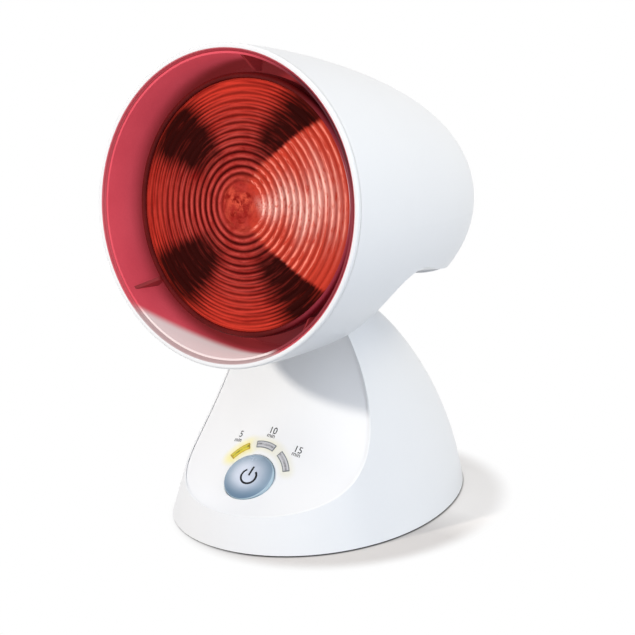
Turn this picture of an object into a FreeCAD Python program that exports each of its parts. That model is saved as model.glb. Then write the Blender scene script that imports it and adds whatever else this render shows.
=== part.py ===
import FreeCAD, Part
import math
import os
from FreeCAD import Placement, Rotation, Vector

# Table lamp with an infrared reflector bulb: an egg-shaped stand with a concave control panel,
# and a dome-shaped head that tilts on a bolt through the neck.
# Millimetres, +Z up, front towards -Y, origin on the table under the middle of the stand.

# --- head: a dome around its own axis, which starts at the mouth and runs backwards
HEAD_TILT = 11.0            # how far the mouth looks up from level, degrees
MOUTH_Y = -76.8             # mouth centre, in front of the stand's middle
MOUTH_Z = 165.3             # mouth centre, above the table
HEAD_R = 74.2               # outer radius of the dome at the mouth
HEAD_LEN = 170.5            # mouth plane to the tip of the dome
DOME_POW = 1.40             # shape exponents of the dome's outline
DOME_ROUND = 2.80
HEAD_WALL = 2.2

# --- ring around the mouth
RING_DEPTH = 2.2
RING_WIDTH = 2.9
RING_SEAM = 0.3             # joint line between the ring and the shell
SKIRT_WALL = 0.9            # thin collar that plugs into the shell
SKIRT_LEN = 5.0
PLUG_GAP = 0.2              # play of every part that plugs into another

# --- scoop in the underside of the head, which gives the neck room to move:
# (distance behind the mouth, height above the tilt bolt) along its edge on the side of the dome
SCOOP_LINE = [(45.5, -33.5), (48.2, -13.5), (50.6, 2.5), (56.0, 12.3), (66.0, 19.7), (80.0, 23.7),
              (100.0, 23.6), (118.0, 21.7), (132.0, 20.6), (142.0, 18.9), (150.0, 13.0), (162.0, -8.5)]
SCOOP_BULGE = 13.5          # how much lower the scoop's roof is in the middle, at the neck
SCOOP_BULGE_REAR = 3.0      # the same at the back
SCOOP_HALF_WIDTH = 58.0     # where the bulge ends
VENT_WIDTH = 3.0
VENT_LEN = 20.0
VENT_START = 104.0
VENT_COLUMNS = [-28, -20, 20, 28]   # x of each slot

# --- tilt hinge
PIVOT_S = 80.0              # behind the mouth plane
PIVOT_DEPTH = 46.5          # below the head's axis
KNUCKLE_R = 7.5
KNUCKLE_HALF = 8.0          # half the width of the knuckle on the neck
WASHER_T = 1.0
HINGE_GAP = 0.3             # between the washers and the yoke
LUG_T = 2.5
BOLT_R = 3.0
RUN_GAP = 0.05              # radial play of the bolt in the knuckle
BOLT_HEAD_R = 5.0
BOLT_HEAD_T = 3.2
BOLT_END = 1.0              # how far the bolt stands out of its nut
SPRING_WASHER_T = 1.0
NUT_R = 5.4
NUT_T = 4.0
PAD_GAP = 1.0               # between the knuckle and the seat above it
PAD_HALF = 24.0             # flat seat for the yoke in the scoop's roof
PAD_START = 67.0
PAD_END = 96.0
PAD_T = 3.0
PAD_RIM = 3.0               # how far its rear part rises into the head
YOKE_HALF = 22.0
YOKE_START = 72.5
YOKE_END = 92.5
YOKE_T = 2.5
SLOT_GAP = 0.5              # around each lug where it passes the pad
YOKE_SCREW_X = 17.5
YOKE_SCREW_INSET = 4.0
SCREW_R = 1.5
SCREW_HEAD_R = 2.8
SCREW_HEAD_T = 1.8
SCREW_STOP = 0.5            # left under a blind hole

# --- liner inside the mouth
LINER_WALL = 1.0
LINER_START = 1.5
LINER_END = 42.0
LINER_CLEAR = 1.3           # between the liner's rear edge and the dome
BAFFLE_GAP = 1.8            # between the baffle and the bulb's bowl
FIN_ANGLES = [93, -137, -47]   # seen from the front, degrees from +X
FIN_T = 1.6
FIN_START = 4.0
FIN_LEAN = 2.0              # a fin's foot follows the sloping liner
FIN_GAP = 0.6               # between a fin and the bulb's rim

# --- reflector bulb
MOUTH_MARGIN = 13.2         # between the outside of the head and the rim of the bulb
BULB_R = HEAD_R - MOUTH_MARGIN
RIM_S = 16.5                # front of the bulb's rim behind the mouth plane
LENS_RISE = 3.5             # how far the lens stands forward of its rim
LENS_T = 2.4
LENS_EDGE = 4.0
LENS_RINGS = 10
LENS_STEP = 0.5
# outline of the bowl behind the lens: (share of the bulb's radius, share of the bowl's length)
BOWL_LINE = [(0.992, 0.079), (0.943, 0.152), (0.844, 0.246), (0.721, 0.351), (0.595, 0.456),
             (0.475, 0.560), (0.382, 0.665), (0.321, 0.770), (0.287, 0.874), (0.270, 1.000)]
BOWL_WALL = 1.8
CAP_R = 13.2                # screw cap
CAP_WALL = 0.6
CAP_LEN = 26.0
CAP_COLLAR = 4.3            # plain length before the thread
CAP_GAP = 1.0               # glass neck between the bowl and the cap
THREAD_PITCH = 3.5
THREAD_DEPTH = 0.7
INSULATOR_LEN = 5.0
CONTACT_R = 5.0
CONTACT_T = 2.0
FILAMENT_S = 62.0
FILAMENT_R = 9.0
FILAMENT_WIRE = 0.8
FILAMENT_ARC = 280
LEAD_WIRE = 0.6
LEAD_ROOT_X = 2.4

# --- bulb holder and its bracket
HOLDER_R = 20.0
HOLDER_SET = 5.0            # front of the holder, behind that of the bulb's cap
HOLDER_BASE = 9.0           # thickness of its closed end
HOLDER_TAIL = 12.5          # from its end to the tip of the dome
HOLDER_BORE = 14.8
FLANGE_R = 24.0
FLANGE_T = 3.0
CONTACT_SPRING = 3.0        # room for the sprung tab under the bulb
TAB_HALF = 2.0
TAB_T = 0.6
SLEEVE_SET = 1.0            # the sleeve's ends lie back from those of the bore and the cap
SLEEVE_GAP = 0.3            # between the sleeve and the bulb's cap
BRACKET_SET = 1.5           # behind the front of the holder
BRACKET_T = 2.0
BRACKET_HALF = 46.0
BRACKET_ARM = 7.0
BRACKET_RING = 25.0
BRACKET_FLAT = 22.5         # height of the ring's flat underside over the tilt bolt
BRACKET_BOSS_X = 41.0
BRACKET_BOSS_R = 4.5
BRACKET_SCREW_LEN = 10.0
CUTOUT_R = 3.0              # thermal cut-out
CUTOUT_LEN = 9.0
CUTOUT_X = -34.0

# --- stand: an egg-shaped hill
STAND_HALF_X = 62.4
STAND_HALF_Y = 85.3
STAND_H = 118.5             # where the hill would close, above its flat top
SIDE_POW = 2.01             # shape exponents of the outline from the front and from the side
LENGTH_POW = 1.37
LENGTH_ROUND = 1.83
LEAN_UP = 8.0               # the middle of the hill moves back and then forward with height
LEAN_BACK = -31.6
EGG = -0.07                 # wider towards the front
SHELL_FOOT = 0.8            # gap under the shell's edge
SHELL_TOP_GAP = 1.4         # between its flat top and the yoke's lugs
STAND_WALL = 2.4

# --- front panel: a surface hollow from front to back and crowned from side to side
PANEL_FRONT_Y = -83.0
PANEL_DEPTH_Y = 62.0
PANEL_TOP_Z = 92.0          # where its middle line turns upright
PANEL_FRONT_Z = 17.0        # its front edge
PANEL_POW = 1.53
EDGE_FRONT_Y = -80.2        # the same for the line along its side edges
EDGE_TOP_Z = 79.1
EDGE_FRONT_Z = 17.1
EDGE_POW = 2.0
EDGE_HALF = 46.0
PANEL_SIDE = 11.0           # how far the surface is carried on past its side edges
PANEL_T = 2.4
PANEL_SET = 0.4             # how far the panel lies behind the shell's cut edge
PANEL_FIT = 0.15            # running clearance round it
PANEL_LIP = 0.9             # what is left of the shell's wall where the panel's edge sits in it

# --- power button, tilted with the panel
BUTTON_Y = -60.3
BUTTON_Z = 28.6
PANEL_SLOPE = 38.0
BUTTON_R = 12.6
BUTTON_HOLE_GAP = 0.4
BUTTON_DOME = 2.4
BUTTON_EDGE = 0.6           # height of the button's rim over the panel plane
BUTTON_WALL = 1.6
BUTTON_TRAVEL = 1.0
COLLAR_WALL = 1.6
COLLAR_DEPTH = 4.0
BUTTON_FLANGE_R = 14.2
BUTTON_FLANGE_T = 1.2
STEM_R = 2.5

# --- control board behind the panel
BOARD_DEPTH = 11.0          # below the panel plane
BOARD_T = 1.6
BOARD_HALF = 21.0
BOARD_LOW = -17.0
BOARD_HIGH = 31.0
POST_X = 17.0
POST_LOW = -13.0
POST_HIGH = 27.0
POST_R = 2.6
BOARD_SCREW_R = 1.0
BOARD_SCREW_LEN = 4.0
BOARD_SCREW_HEAD_R = 2.0
BOARD_SCREW_HEAD_T = 1.4
SWITCH_HALF = 3.0
SWITCH_T = 3.5
PLUNGER_R = 1.7
PLUNGER_UP = 1.0
PLUNGER_DOWN = 1.6
PLUNGER_GAP = 0.1
WINDOW_IN = 16.8            # inner and outer radius of the lit arcs, from the button's middle
WINDOW_OUT = 19.8
WINDOW_HALF_ANGLE = 16.5
WINDOWS = {"window_5": 135, "window_10": 90, "window_15": 45}
WINDOW_DEPTH = 8.5
WINDOW_GAP = 0.1
LED_HALF = 1.7
LED_T = 1.5

# --- base plate and feet
PLATE_BOTTOM = 1.0
PLATE_T = 2.4
FOOT_R = 7.0
FOOT_SET = 0.8              # depth of a foot's pocket
FEET = [(-38, -44), (38, -44), (-30, 57), (30, 57)]
BASE_SCREWS = [(-90, 12), (-10, 30), (190, 30), (35, 30), (145, 30)]   # angle, height of the boss
BOSS_R = 4.0
BOSS_SINK = 1.5             # how far a boss sinks into the shell's wall at its top
BASE_SCREW_R = 1.25
BASE_SCREW_LEN = 8.0
BASE_HEAD_R = 2.6
BASE_HEAD_T = 1.2

# --- neck column
COLUMN_WALL = 2.0
COLUMN_FOOT_X = 20.0
COLUMN_FOOT_Y = 15.0
COLUMN_FOOT_T = 3.0
COLUMN_SCREW_X = 15.0
COLUMN_SCREW_Y = 11.0
COLUMN_OPENING_GAP = 0.6
WIRE_SLOT_HALF = 4.0
WIRE_SLOT_H = 12.0
WIRE_SLOT_Z = 9.5
KNUCKLE_WALL = 4.0          # left between the hollow of the post and the bolt

# --- power board, parts on it and the mains entry
POWER_HALF = 26.0
POWER_Y0 = 14.0
POWER_Y1 = 48.0
POWER_LIFT = 5.0
STANDOFF_R = 3.0
STANDOFF_INSET = 4.0
RELAY = (19.0, 15.5, 15.0)
CAPACITOR = (8.0, 18.0, 14.0)
RELAY_AT = (-20.0, 24.0)    # low corner on the board
CAPACITOR_AT = (10.0, 22.0)
BLOCK = (20.0, 9.0, 11.0)
BLOCK_Y = 52.0
TERMINAL_R = 2.2
GLAND_Z = 14.0
GLAND_SEAT_R = 9.0
GLAND_SEAT_Y = 85.5
GLAND_SEAT_IN = 70.0
GLAND_FLANGE_R = 7.5
GLAND_FLANGE_T = 2.0
GLAND_TAIL_R = 5.5
GLAND_TAIL_Y = 64.0
GLAND_BORE = 3.4
GLAND_NUT_R = 7.8
GLAND_NUT_T = 4.0

BIG = 200.0                 # longer than anything it has to cut through
OVER = 1.0                  # how far a cutter runs past the faces that it opens
X_AXIS = Vector(1, 0, 0)
Y_AXIS = Vector(0, 1, 0)
Z_AXIS = Vector(0, 0, 1)
AXIS_TURN = -(90.0 + HEAD_TILT)

# Head parts are built around +Z, with z the distance behind the mouth and +Y downwards.
HEAD_PLACE = Placement(Vector(0, MOUTH_Y, MOUTH_Z), Rotation(X_AXIS, AXIS_TURN))
# Panel parts are built with +Z out of the panel and +Y up its slope, from the button's middle.
PANEL_PLACE = Placement(Vector(0, BUTTON_Y, BUTTON_Z), Rotation(X_AXIS, PANEL_SLOPE))
PIVOT = HEAD_PLACE.multVec(Vector(0, PIVOT_DEPTH, PIVOT_S))
SHELL_TOP = PIVOT.z - KNUCKLE_R - SHELL_TOP_GAP

# Places along the head's axis, worked forward from the tip of the dome.
HOLDER_END = HEAD_LEN - HOLDER_TAIL
HOLDER_FLOOR = HOLDER_END - HOLDER_BASE
CAP_START = HOLDER_FLOOR - CONTACT_SPRING - CONTACT_T - INSULATOR_LEN - CAP_LEN
BOWL_LEN = CAP_START - CAP_GAP - RIM_S
HOLDER_START = CAP_START + HOLDER_SET
BRACKET_S = HOLDER_START + BRACKET_SET


def placed(shape, place):
    moved = shape.copy()
    moved.Placement = place.multiply(moved.Placement)
    return moved


def box(x0, x1, y0, y1, z0, z1):
    return Part.makeBox(x1 - x0, y1 - y0, z1 - z0, Vector(x0, y0, z0))


def rod(radius, start, end):
    run = end - start
    return Part.makeCylinder(radius, run.Length, start, run)


def rod_x(radius, x0, x1, y, z):
    return rod(radius, Vector(x0, y, z), Vector(x1, y, z))


def rod_y(radius, y0, y1, x, z):
    return rod(radius, Vector(x, y0, z), Vector(x, y1, z))


def rod_z(radius, z0, z1, x=0.0, y=0.0):
    return rod(radius, Vector(x, y, z0), Vector(x, y, z1))


def tube_z(outer, inner, z0, z1, x=0.0, y=0.0):
    return rod_z(outer, z0, z1, x, y).cut(rod_z(inner, z0 - OVER, z1 + OVER, x, y))


def turned(points):
    """Solid of revolution around Z from a closed list of (radius, z)."""
    loop = [Vector(r, 0, z) for r, z in points]
    face = Part.Face(Part.makePolygon(loop + loop[:1]))
    return face.revolve(Vector(0, 0, 0), Z_AXIS, 360)


def turned_curve(points):
    """Solid of revolution around Z under a smooth line of (radius, z), closed along the axis."""
    line = Part.BSplineCurve()
    line.interpolate([Vector(r, 0, z) for r, z in points])
    low = Vector(0, 0, points[0][1])
    high = Vector(0, 0, points[-1][1])
    edges = [Part.makeLine(low, line.StartPoint), line.toShape()]
    if line.EndPoint.distanceToPoint(high) > 1e-6:
        edges.append(Part.makeLine(line.EndPoint, high))
    edges.append(Part.makeLine(high, low))
    return Part.Face(Part.Wire(edges)).revolve(Vector(0, 0, 0), Z_AXIS, 360)


# ---------------------------------------------------------------- head shell

def dome_radius(s, radius, length):
    return radius * max(0.0, 1 - (s / length) ** DOME_POW) ** (1 / DOME_ROUND)


def dome(radius, length):
    steps = 18
    points = []
    for i in range(steps):
        s = length * math.sin(i / steps * math.pi / 2)
        points.append((dome_radius(s, radius, length), s))
    points.append((0.0, length))
    return turned_curve(points)


def scoop_bulge(s):
    start = PIVOT_S
    t = min(1.0, max(0.0, (s - start) / (SCOOP_LINE[8][0] - start)))
    ease = t * t * (3 - 2 * t)
    return SCOOP_BULGE + (SCOOP_BULGE_REAR - SCOOP_BULGE) * ease


def side_line(points, inset, count):
    """Evenly spaced points of the spline through points in a plane of constant x,
    moved by inset to the left of the way it runs, seen with +Z to the right and +Y down."""
    line = Part.BSplineCurve()
    line.interpolate(points)
    moved = []
    for t in line.discretize(Number=count):
        tangent = line.tangent(line.parameter(t))[0]
        moved.append(t + Vector(0, -tangent.z, tangent.y) * inset)
    return moved


def evenly(half):
    """Nine places across the lamp, from -half to half."""
    return [half * i / 4 for i in range(-4, 5)]


def face_through(columns):
    face = Part.BSplineSurface()
    face.interpolate(columns)
    return face.toShape()


def scoop(inset):
    """The space under the scoop's roof, with the roof moved into the head by inset."""
    columns = []
    for x in evenly(HEAD_R + SCOOP_BULGE):
        bulge = 1 - (x / SCOOP_HALF_WIDTH) ** 2
        line = [Vector(x, PIVOT_DEPTH - height + scoop_bulge(s) * bulge, s) for s, height in SCOOP_LINE]
        columns.append(side_line(line, inset, 26))
    return face_through(columns).extrude(Vector(0, BIG, 0))


def head_core(inset):
    """The head as a solid body, smaller by inset all round."""
    return dome(HEAD_R - inset, HEAD_LEN - inset).cut(scoop(inset))


def pad_bottom():
    return PIVOT_DEPTH - KNUCKLE_R - PAD_GAP


def yoke_lug_x():
    return KNUCKLE_HALF + WASHER_T + HINGE_GAP


def yoke_screw_places():
    rows = (YOKE_START + YOKE_SCREW_INSET, YOKE_END - YOKE_SCREW_INSET)
    return [(x, s) for x in (-YOKE_SCREW_X, YOKE_SCREW_X) for s in rows]


def hinge_pad():
    """A flat seat for the yoke, sunk into the scoop's roof."""
    bottom = pad_bottom()
    top = bottom - PAD_T
    pad = box(-PAD_HALF, PAD_HALF, top, bottom, PAD_START, PAD_END)
    return pad.fuse(box(-PAD_HALF, PAD_HALF, top - PAD_RIM, top, PIVOT_S, PAD_END))


def pad_cuts():
    """The seat's pocket, slots for the yoke's lugs and holes for its screws."""
    bottom = pad_bottom()
    top = bottom - PAD_T
    half = YOKE_HALF + SLOT_GAP
    cuts = [box(-half, half, top - PAD_T - PAD_RIM, top, YOKE_START - SLOT_GAP, YOKE_END + SLOT_GAP)]
    inner = yoke_lug_x() - SLOT_GAP
    outer = yoke_lug_x() + LUG_T + SLOT_GAP
    s0 = PIVOT_S - KNUCKLE_R - SLOT_GAP
    s1 = PIVOT_S + KNUCKLE_R + SLOT_GAP
    for side in (-1, 1):
        x0, x1 = sorted((side * inner, side * outer))
        cuts.append(box(x0, x1, top - OVER, bottom + PAD_T, s0, s1))
    for x, s in yoke_screw_places():
        cuts.append(rod_y(SCREW_R, top - OVER, bottom - SCREW_STOP, x, s))
    return cuts


def roof_vents():
    slots = []
    for x in VENT_COLUMNS:
        half = VENT_WIDTH / 2
        slots.append(box(x - half, x + half, 0, BIG, VENT_START, VENT_START + VENT_LEN))
    return slots


def bracket_bosses():
    bosses = []
    for x in (-BRACKET_BOSS_X, BRACKET_BOSS_X):
        boss = rod_z(BRACKET_BOSS_R, BRACKET_S + BRACKET_T, HEAD_LEN, x)
        hole = rod_z(SCREW_R, BRACKET_S, BRACKET_S + BRACKET_SCREW_LEN, x)
        bosses.append(boss.cut(hole))
    return bosses


def make_head_shell():
    outer = head_core(0.0)
    inner = head_core(HEAD_WALL)
    front = RING_DEPTH + RING_SEAM
    shell = outer.cut(inner).cut(box(-BIG, BIG, -BIG, BIG, -BIG, front))
    shell = shell.fuse([boss.common(outer) for boss in bracket_bosses()])
    low = SCOOP_LINE[4][1]
    vents = [slot.common(box(-BIG, BIG, low - HEAD_WALL * 2, BIG, 0, BIG)) for slot in roof_vents()]
    shell = shell.cut(vents)
    shell = shell.fuse(hinge_pad()).cut(pad_cuts())
    return placed(shell.removeSplitter(), HEAD_PLACE)


def skirt_r():
    """Outer radius of the ring's collar, which plugs into the narrowing dome."""
    end = RING_DEPTH + SKIRT_LEN
    return dome_radius(end, HEAD_R - HEAD_WALL, HEAD_LEN - HEAD_WALL) - PLUG_GAP


def make_mouth_ring():
    inner = HEAD_R - RING_WIDTH
    skirt = skirt_r()
    lip = RING_WIDTH / 4
    profile = [(inner + lip, 0), (HEAD_R - lip, 0), (HEAD_R, lip), (HEAD_R, RING_DEPTH),
               (skirt, RING_DEPTH), (skirt, RING_DEPTH + SKIRT_LEN),
               (skirt - SKIRT_WALL, RING_DEPTH + SKIRT_LEN), (skirt - SKIRT_WALL, RING_DEPTH),
               (inner, RING_DEPTH), (inner, lip)]
    return placed(turned(profile), HEAD_PLACE)


# ---------------------------------------------------------------- liner

def liner_front_r():
    return skirt_r() - SKIRT_WALL - PLUG_GAP


def fin(angle):
    """A flat three-cornered rib from the liner's wall to the bulb's rim."""
    outer = liner_front_r() - LINER_WALL / 2
    inner = BULB_R + FIN_GAP
    corners = [Vector(outer, 0, FIN_START), Vector(inner, 0, RIM_S), Vector(inner, 0, RIM_S + LENS_EDGE),
               Vector(outer - FIN_LEAN, 0, LINER_END / 2)]
    rib = Part.Face(Part.makePolygon(corners + corners[:1])).extrude(Vector(0, FIN_T, 0))
    rib.translate(Vector(0, -FIN_T / 2, 0))
    rib.rotate(Vector(0, 0, 0), Z_AXIS, -angle)
    return rib


def liner_solid():
    front = liner_front_r()
    back = dome_radius(LINER_END, HEAD_R - HEAD_WALL, HEAD_LEN - HEAD_WALL) - LINER_CLEAR
    baffle = bowl_radius(LINER_END - LINER_WALL) + BAFFLE_GAP
    return turned([(front, LINER_START), (back, LINER_END), (baffle, LINER_END),
                   (baffle, LINER_END - LINER_WALL), (back - LINER_WALL, LINER_END - LINER_WALL),
                   (front - LINER_WALL, LINER_START)])


def make_liner():
    return placed(liner_solid(), HEAD_PLACE)


def make_liner_fins():
    fins = Part.makeCompound([fin(angle) for angle in FIN_ANGLES])
    return placed(fins.cut(liner_solid()), HEAD_PLACE)


# ---------------------------------------------------------------- bulb

def lens_front(r):
    return RIM_S - LENS_RISE * (1 - (r / BULB_R) ** 2)


def make_lens():
    """Pressed glass front with stepped rings around a plain middle."""
    pitch = BULB_R / (LENS_RINGS + 2)
    front = [(0, lens_front(0)), (2 * pitch, lens_front(2 * pitch))]
    for i in range(2, LENS_RINGS + 1):
        r = i * pitch
        front.append((r, lens_front(r) + LENS_STEP))
        front.append((r + pitch, lens_front(r + pitch)))
    edge = [(BULB_R, RIM_S), (BULB_R, RIM_S + LENS_EDGE)]
    inner = BULB_R - BOWL_WALL * 2
    back = [(inner, RIM_S + LENS_EDGE), (inner, RIM_S + LENS_T), (0, lens_front(0) + LENS_T)]
    return placed(turned(front + edge + back), HEAD_PLACE)


def bowl_points(inset):
    return [(wide * BULB_R - inset, RIM_S + deep * BOWL_LEN) for wide, deep in BOWL_LINE]


def make_reflector():
    """The bulb's bowl behind the lens, closed at its neck."""
    rim_r, rim_s = bowl_points(0)[0]
    outer = turned_curve(bowl_points(0)).fuse(rod_z(rim_r, RIM_S + LENS_EDGE, rim_s))
    inner = turned_curve(bowl_points(BOWL_WALL)[:-1])
    inner = inner.fuse(rod_z(rim_r - BOWL_WALL, RIM_S + LENS_EDGE - OVER, rim_s))
    return placed(outer.cut(inner).removeSplitter(), HEAD_PLACE)


def bowl_radius(s):
    """Outer radius of the bowl at a distance behind the mouth, between its outline's points."""
    points = bowl_points(0)
    for (r0, s0), (r1, s1) in zip(points, points[1:]):
        if s0 <= s <= s1:
            return r0 + (r1 - r0) * (s - s0) / (s1 - s0)
    return points[0][0]


def filament_ends():
    half = math.radians((360 - FILAMENT_ARC) / 2)
    return [Vector(side * FILAMENT_R * math.sin(half), FILAMENT_R * math.cos(half), FILAMENT_S)
            for side in (-1, 1)]


def make_filament():
    """An open ring of coiled wire."""
    section = Part.Wire(Part.makeCircle(FILAMENT_WIRE, Vector(FILAMENT_R, 0, 0), Y_AXIS))
    ring = Part.Face(section).revolve(Vector(0, 0, 0), Z_AXIS, FILAMENT_ARC)
    ring.rotate(Vector(0, 0, 0), Z_AXIS, 90 + (360 - FILAMENT_ARC) / 2)
    ring.translate(Vector(0, 0, FILAMENT_S))
    return placed(ring, HEAD_PLACE)


def make_filament_leads():
    """Two wires that carry the filament from the closed neck of the bowl."""
    neck = bowl_points(0)[-2][1]
    leads = []
    for side, end in zip((-1, 1), filament_ends()):
        root = Vector(side * LEAD_ROOT_X, end.y / 2, neck)
        tip = end + Vector(0, 0, FILAMENT_WIRE + LEAD_WIRE)
        leads.append(rod(LEAD_WIRE, root, tip))
    return placed(Part.makeCompound(leads), HEAD_PLACE)


def threaded(radius, start, length):
    """(radius, z) points of a rolled thread, as round ridges one after the other."""
    turns = round(length / THREAD_PITCH)
    pitch = length / turns
    points = []
    for i in range(turns):
        z = start + i * pitch
        points.append((radius - THREAD_DEPTH, z))
        points.append((radius, z + pitch / 2))
    points.append((radius - THREAD_DEPTH, start + length))
    return points


def make_bulb_cap():
    end = CAP_START + CAP_LEN
    collar = CAP_START + CAP_COLLAR
    neck_r, neck_s = bowl_points(0)[-1]
    outer = [(neck_r, neck_s), (neck_r, CAP_START)] + threaded(CAP_R, collar, end - collar)
    inner_r = CAP_R - THREAD_DEPTH - CAP_WALL
    return placed(turned(outer + [(inner_r, end), (inner_r, neck_s)]), HEAD_PLACE)


def make_cap_insulator():
    start = CAP_START + CAP_LEN
    wide = CAP_R - THREAD_DEPTH - CAP_WALL
    profile = [(0, start - CAP_WALL), (wide, start - CAP_WALL), (wide, start),
               (CONTACT_R, start + INSULATOR_LEN), (0, start + INSULATOR_LEN)]
    return placed(turned(profile), HEAD_PLACE)


def make_cap_contact():
    start = CAP_START + CAP_LEN + INSULATOR_LEN
    return placed(rod_z(CONTACT_R, start, start + CONTACT_T), HEAD_PLACE)


# ---------------------------------------------------------------- bulb holder

def make_holder_body():
    body = rod_z(HOLDER_R, HOLDER_START, HOLDER_END)
    flange_at = BRACKET_S + BRACKET_T
    body = body.fuse(rod_z(FLANGE_R, flange_at, flange_at + FLANGE_T))
    bore = rod_z(HOLDER_BORE, HOLDER_START - OVER, HOLDER_FLOOR)
    return placed(body.cut(bore).removeSplitter(), HEAD_PLACE)


def make_holder_sleeve():
    inner = CAP_R + SLEEVE_GAP
    end = CAP_START + CAP_LEN - SLEEVE_SET
    return placed(tube_z(HOLDER_BORE, inner, HOLDER_START + SLEEVE_SET, end), HEAD_PLACE)


def make_holder_contact():
    top = CAP_START + CAP_LEN + INSULATOR_LEN + CONTACT_T
    foot = HOLDER_FLOOR
    tab = box(-CONTACT_R, CONTACT_R, -TAB_HALF, TAB_HALF, top, top + TAB_T)
    leg = box(CONTACT_R - TAB_T, CONTACT_R, -TAB_HALF, TAB_HALF, top, foot)
    return placed(tab.fuse(leg).removeSplitter(), HEAD_PLACE)


def make_holder_bracket():
    s0 = BRACKET_S
    s1 = BRACKET_S + BRACKET_T
    plate = rod_z(BRACKET_RING, s0, s1)
    plate = plate.fuse(box(-BRACKET_HALF, BRACKET_HALF, -BRACKET_ARM, BRACKET_ARM, s0, s1))
    plate = plate.cut(rod_z(HOLDER_R + PLUG_GAP, s0 - OVER, s1 + OVER))
    flat = PIVOT_DEPTH - BRACKET_FLAT
    plate = plate.cut(box(-BRACKET_RING, BRACKET_RING, flat, BIG, s0 - OVER, s1 + OVER))
    for x in (-BRACKET_BOSS_X, BRACKET_BOSS_X):
        plate = plate.cut(rod_z(SCREW_R, s0 - OVER, s1 + OVER, x))
    return placed(plate.removeSplitter(), HEAD_PLACE)


def make_bracket_screws():
    screws = []
    for x in (-BRACKET_BOSS_X, BRACKET_BOSS_X):
        head = rod_z(SCREW_HEAD_R, BRACKET_S - SCREW_HEAD_T, BRACKET_S, x)
        screws.append(head.fuse(rod_z(SCREW_R, BRACKET_S, BRACKET_S + BRACKET_SCREW_LEN, x)))
    return placed(Part.makeCompound(screws), HEAD_PLACE)


def make_thermal_cutout():
    s = BRACKET_S - CUTOUT_R
    return placed(rod_x(CUTOUT_R, CUTOUT_X, CUTOUT_X + CUTOUT_LEN, 0, s), HEAD_PLACE)


# ---------------------------------------------------------------- tilt hinge

def make_hinge_yoke():
    top = pad_bottom() - PAD_T
    plate = box(-YOKE_HALF, YOKE_HALF, top - YOKE_T, top, YOKE_START, YOKE_END)
    s0 = PIVOT_S - KNUCKLE_R
    s1 = PIVOT_S + KNUCKLE_R
    for side in (-1, 1):
        x0, x1 = sorted((side * yoke_lug_x(), side * (yoke_lug_x() + LUG_T)))
        plate = plate.fuse(box(x0, x1, top - YOKE_T, PIVOT_DEPTH, s0, s1))
        plate = plate.fuse(rod_x(KNUCKLE_R, x0, x1, PIVOT_DEPTH, PIVOT_S))
    plate = plate.cut(rod_x(BOLT_R, -BIG, BIG, PIVOT_DEPTH, PIVOT_S))
    for x, s in yoke_screw_places():
        plate = plate.cut(rod_y(SCREW_R, top - YOKE_T - OVER, top + OVER, x, s))
    return placed(plate.removeSplitter(), HEAD_PLACE)


def make_yoke_screws():
    top = pad_bottom() - PAD_T
    under_head = top - YOKE_T
    screws = []
    for x, s in yoke_screw_places():
        head = rod_y(SCREW_HEAD_R, under_head - SCREW_HEAD_T, under_head, x, s)
        screws.append(head.fuse(rod_y(SCREW_R, under_head, pad_bottom() - SCREW_STOP, x, s)))
    return placed(Part.makeCompound(screws), HEAD_PLACE)


def yoke_outer():
    return yoke_lug_x() + LUG_T


def make_hinge_bolt():
    under_head = yoke_outer() + SPRING_WASHER_T
    shank = rod_x(BOLT_R, -yoke_outer() - NUT_T - BOLT_END, under_head, PIVOT_DEPTH, PIVOT_S)
    head = rod_x(BOLT_HEAD_R, under_head, under_head + BOLT_HEAD_T, PIVOT_DEPTH, PIVOT_S)
    return placed(shank.fuse(head).removeSplitter(), HEAD_PLACE)


def make_spring_washer():
    x0 = yoke_outer()
    ring = rod_x(BOLT_HEAD_R, x0, x0 + SPRING_WASHER_T, PIVOT_DEPTH, PIVOT_S)
    return placed(ring.cut(rod_x(BOLT_R, -BIG, BIG, PIVOT_DEPTH, PIVOT_S)), HEAD_PLACE)


def make_hinge_nut():
    x1 = -yoke_outer()
    corners = []
    for i in range(6):
        a = i * math.pi / 3
        corners.append(Vector(x1, PIVOT_DEPTH + NUT_R * math.cos(a), PIVOT_S + NUT_R * math.sin(a)))
    block = Part.Face(Part.makePolygon(corners + corners[:1])).extrude(Vector(-NUT_T, 0, 0))
    return placed(block.cut(rod_x(BOLT_R, -BIG, BIG, PIVOT_DEPTH, PIVOT_S)), HEAD_PLACE)


def make_friction_washers():
    rings = []
    for side in (-1, 1):
        x0, x1 = sorted((side * KNUCKLE_HALF, side * (KNUCKLE_HALF + WASHER_T)))
        ring = rod_x(KNUCKLE_R, x0, x1, PIVOT.y, PIVOT.z)
        rings.append(ring.cut(rod_x(BOLT_R + RUN_GAP, -BIG, BIG, PIVOT.y, PIVOT.z)))
    return Part.makeCompound(rings)


# ---------------------------------------------------------------- stand

def hill_section(z, inset):
    """Egg-shaped outline of the hill at height z, as (half width, half length, middle y)."""
    height = min(0.999, max(0.0, z / (STAND_H - inset)))
    lean = z / STAND_H
    half_x = (STAND_HALF_X - inset) * (1 - height) ** (1 / SIDE_POW)
    half_y = (STAND_HALF_Y - inset) * (1 - height ** LENGTH_POW) ** (1 / LENGTH_ROUND)
    return half_x, half_y, LEAN_UP * lean + LEAN_BACK * lean * lean


def hill_wire(z, inset):
    half_x, half_y, middle = hill_section(z, inset)
    count = 24
    points = []
    for i in range(count):
        a = 2 * math.pi * i / count
        x = half_x * math.cos(a) * (1 + EGG * math.sin(a))
        points.append(Vector(x, middle + half_y * math.sin(a), z))
    line = Part.BSplineCurve()
    line.interpolate(points, PeriodicFlag=True)
    return Part.Wire(line.toShape())


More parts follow.
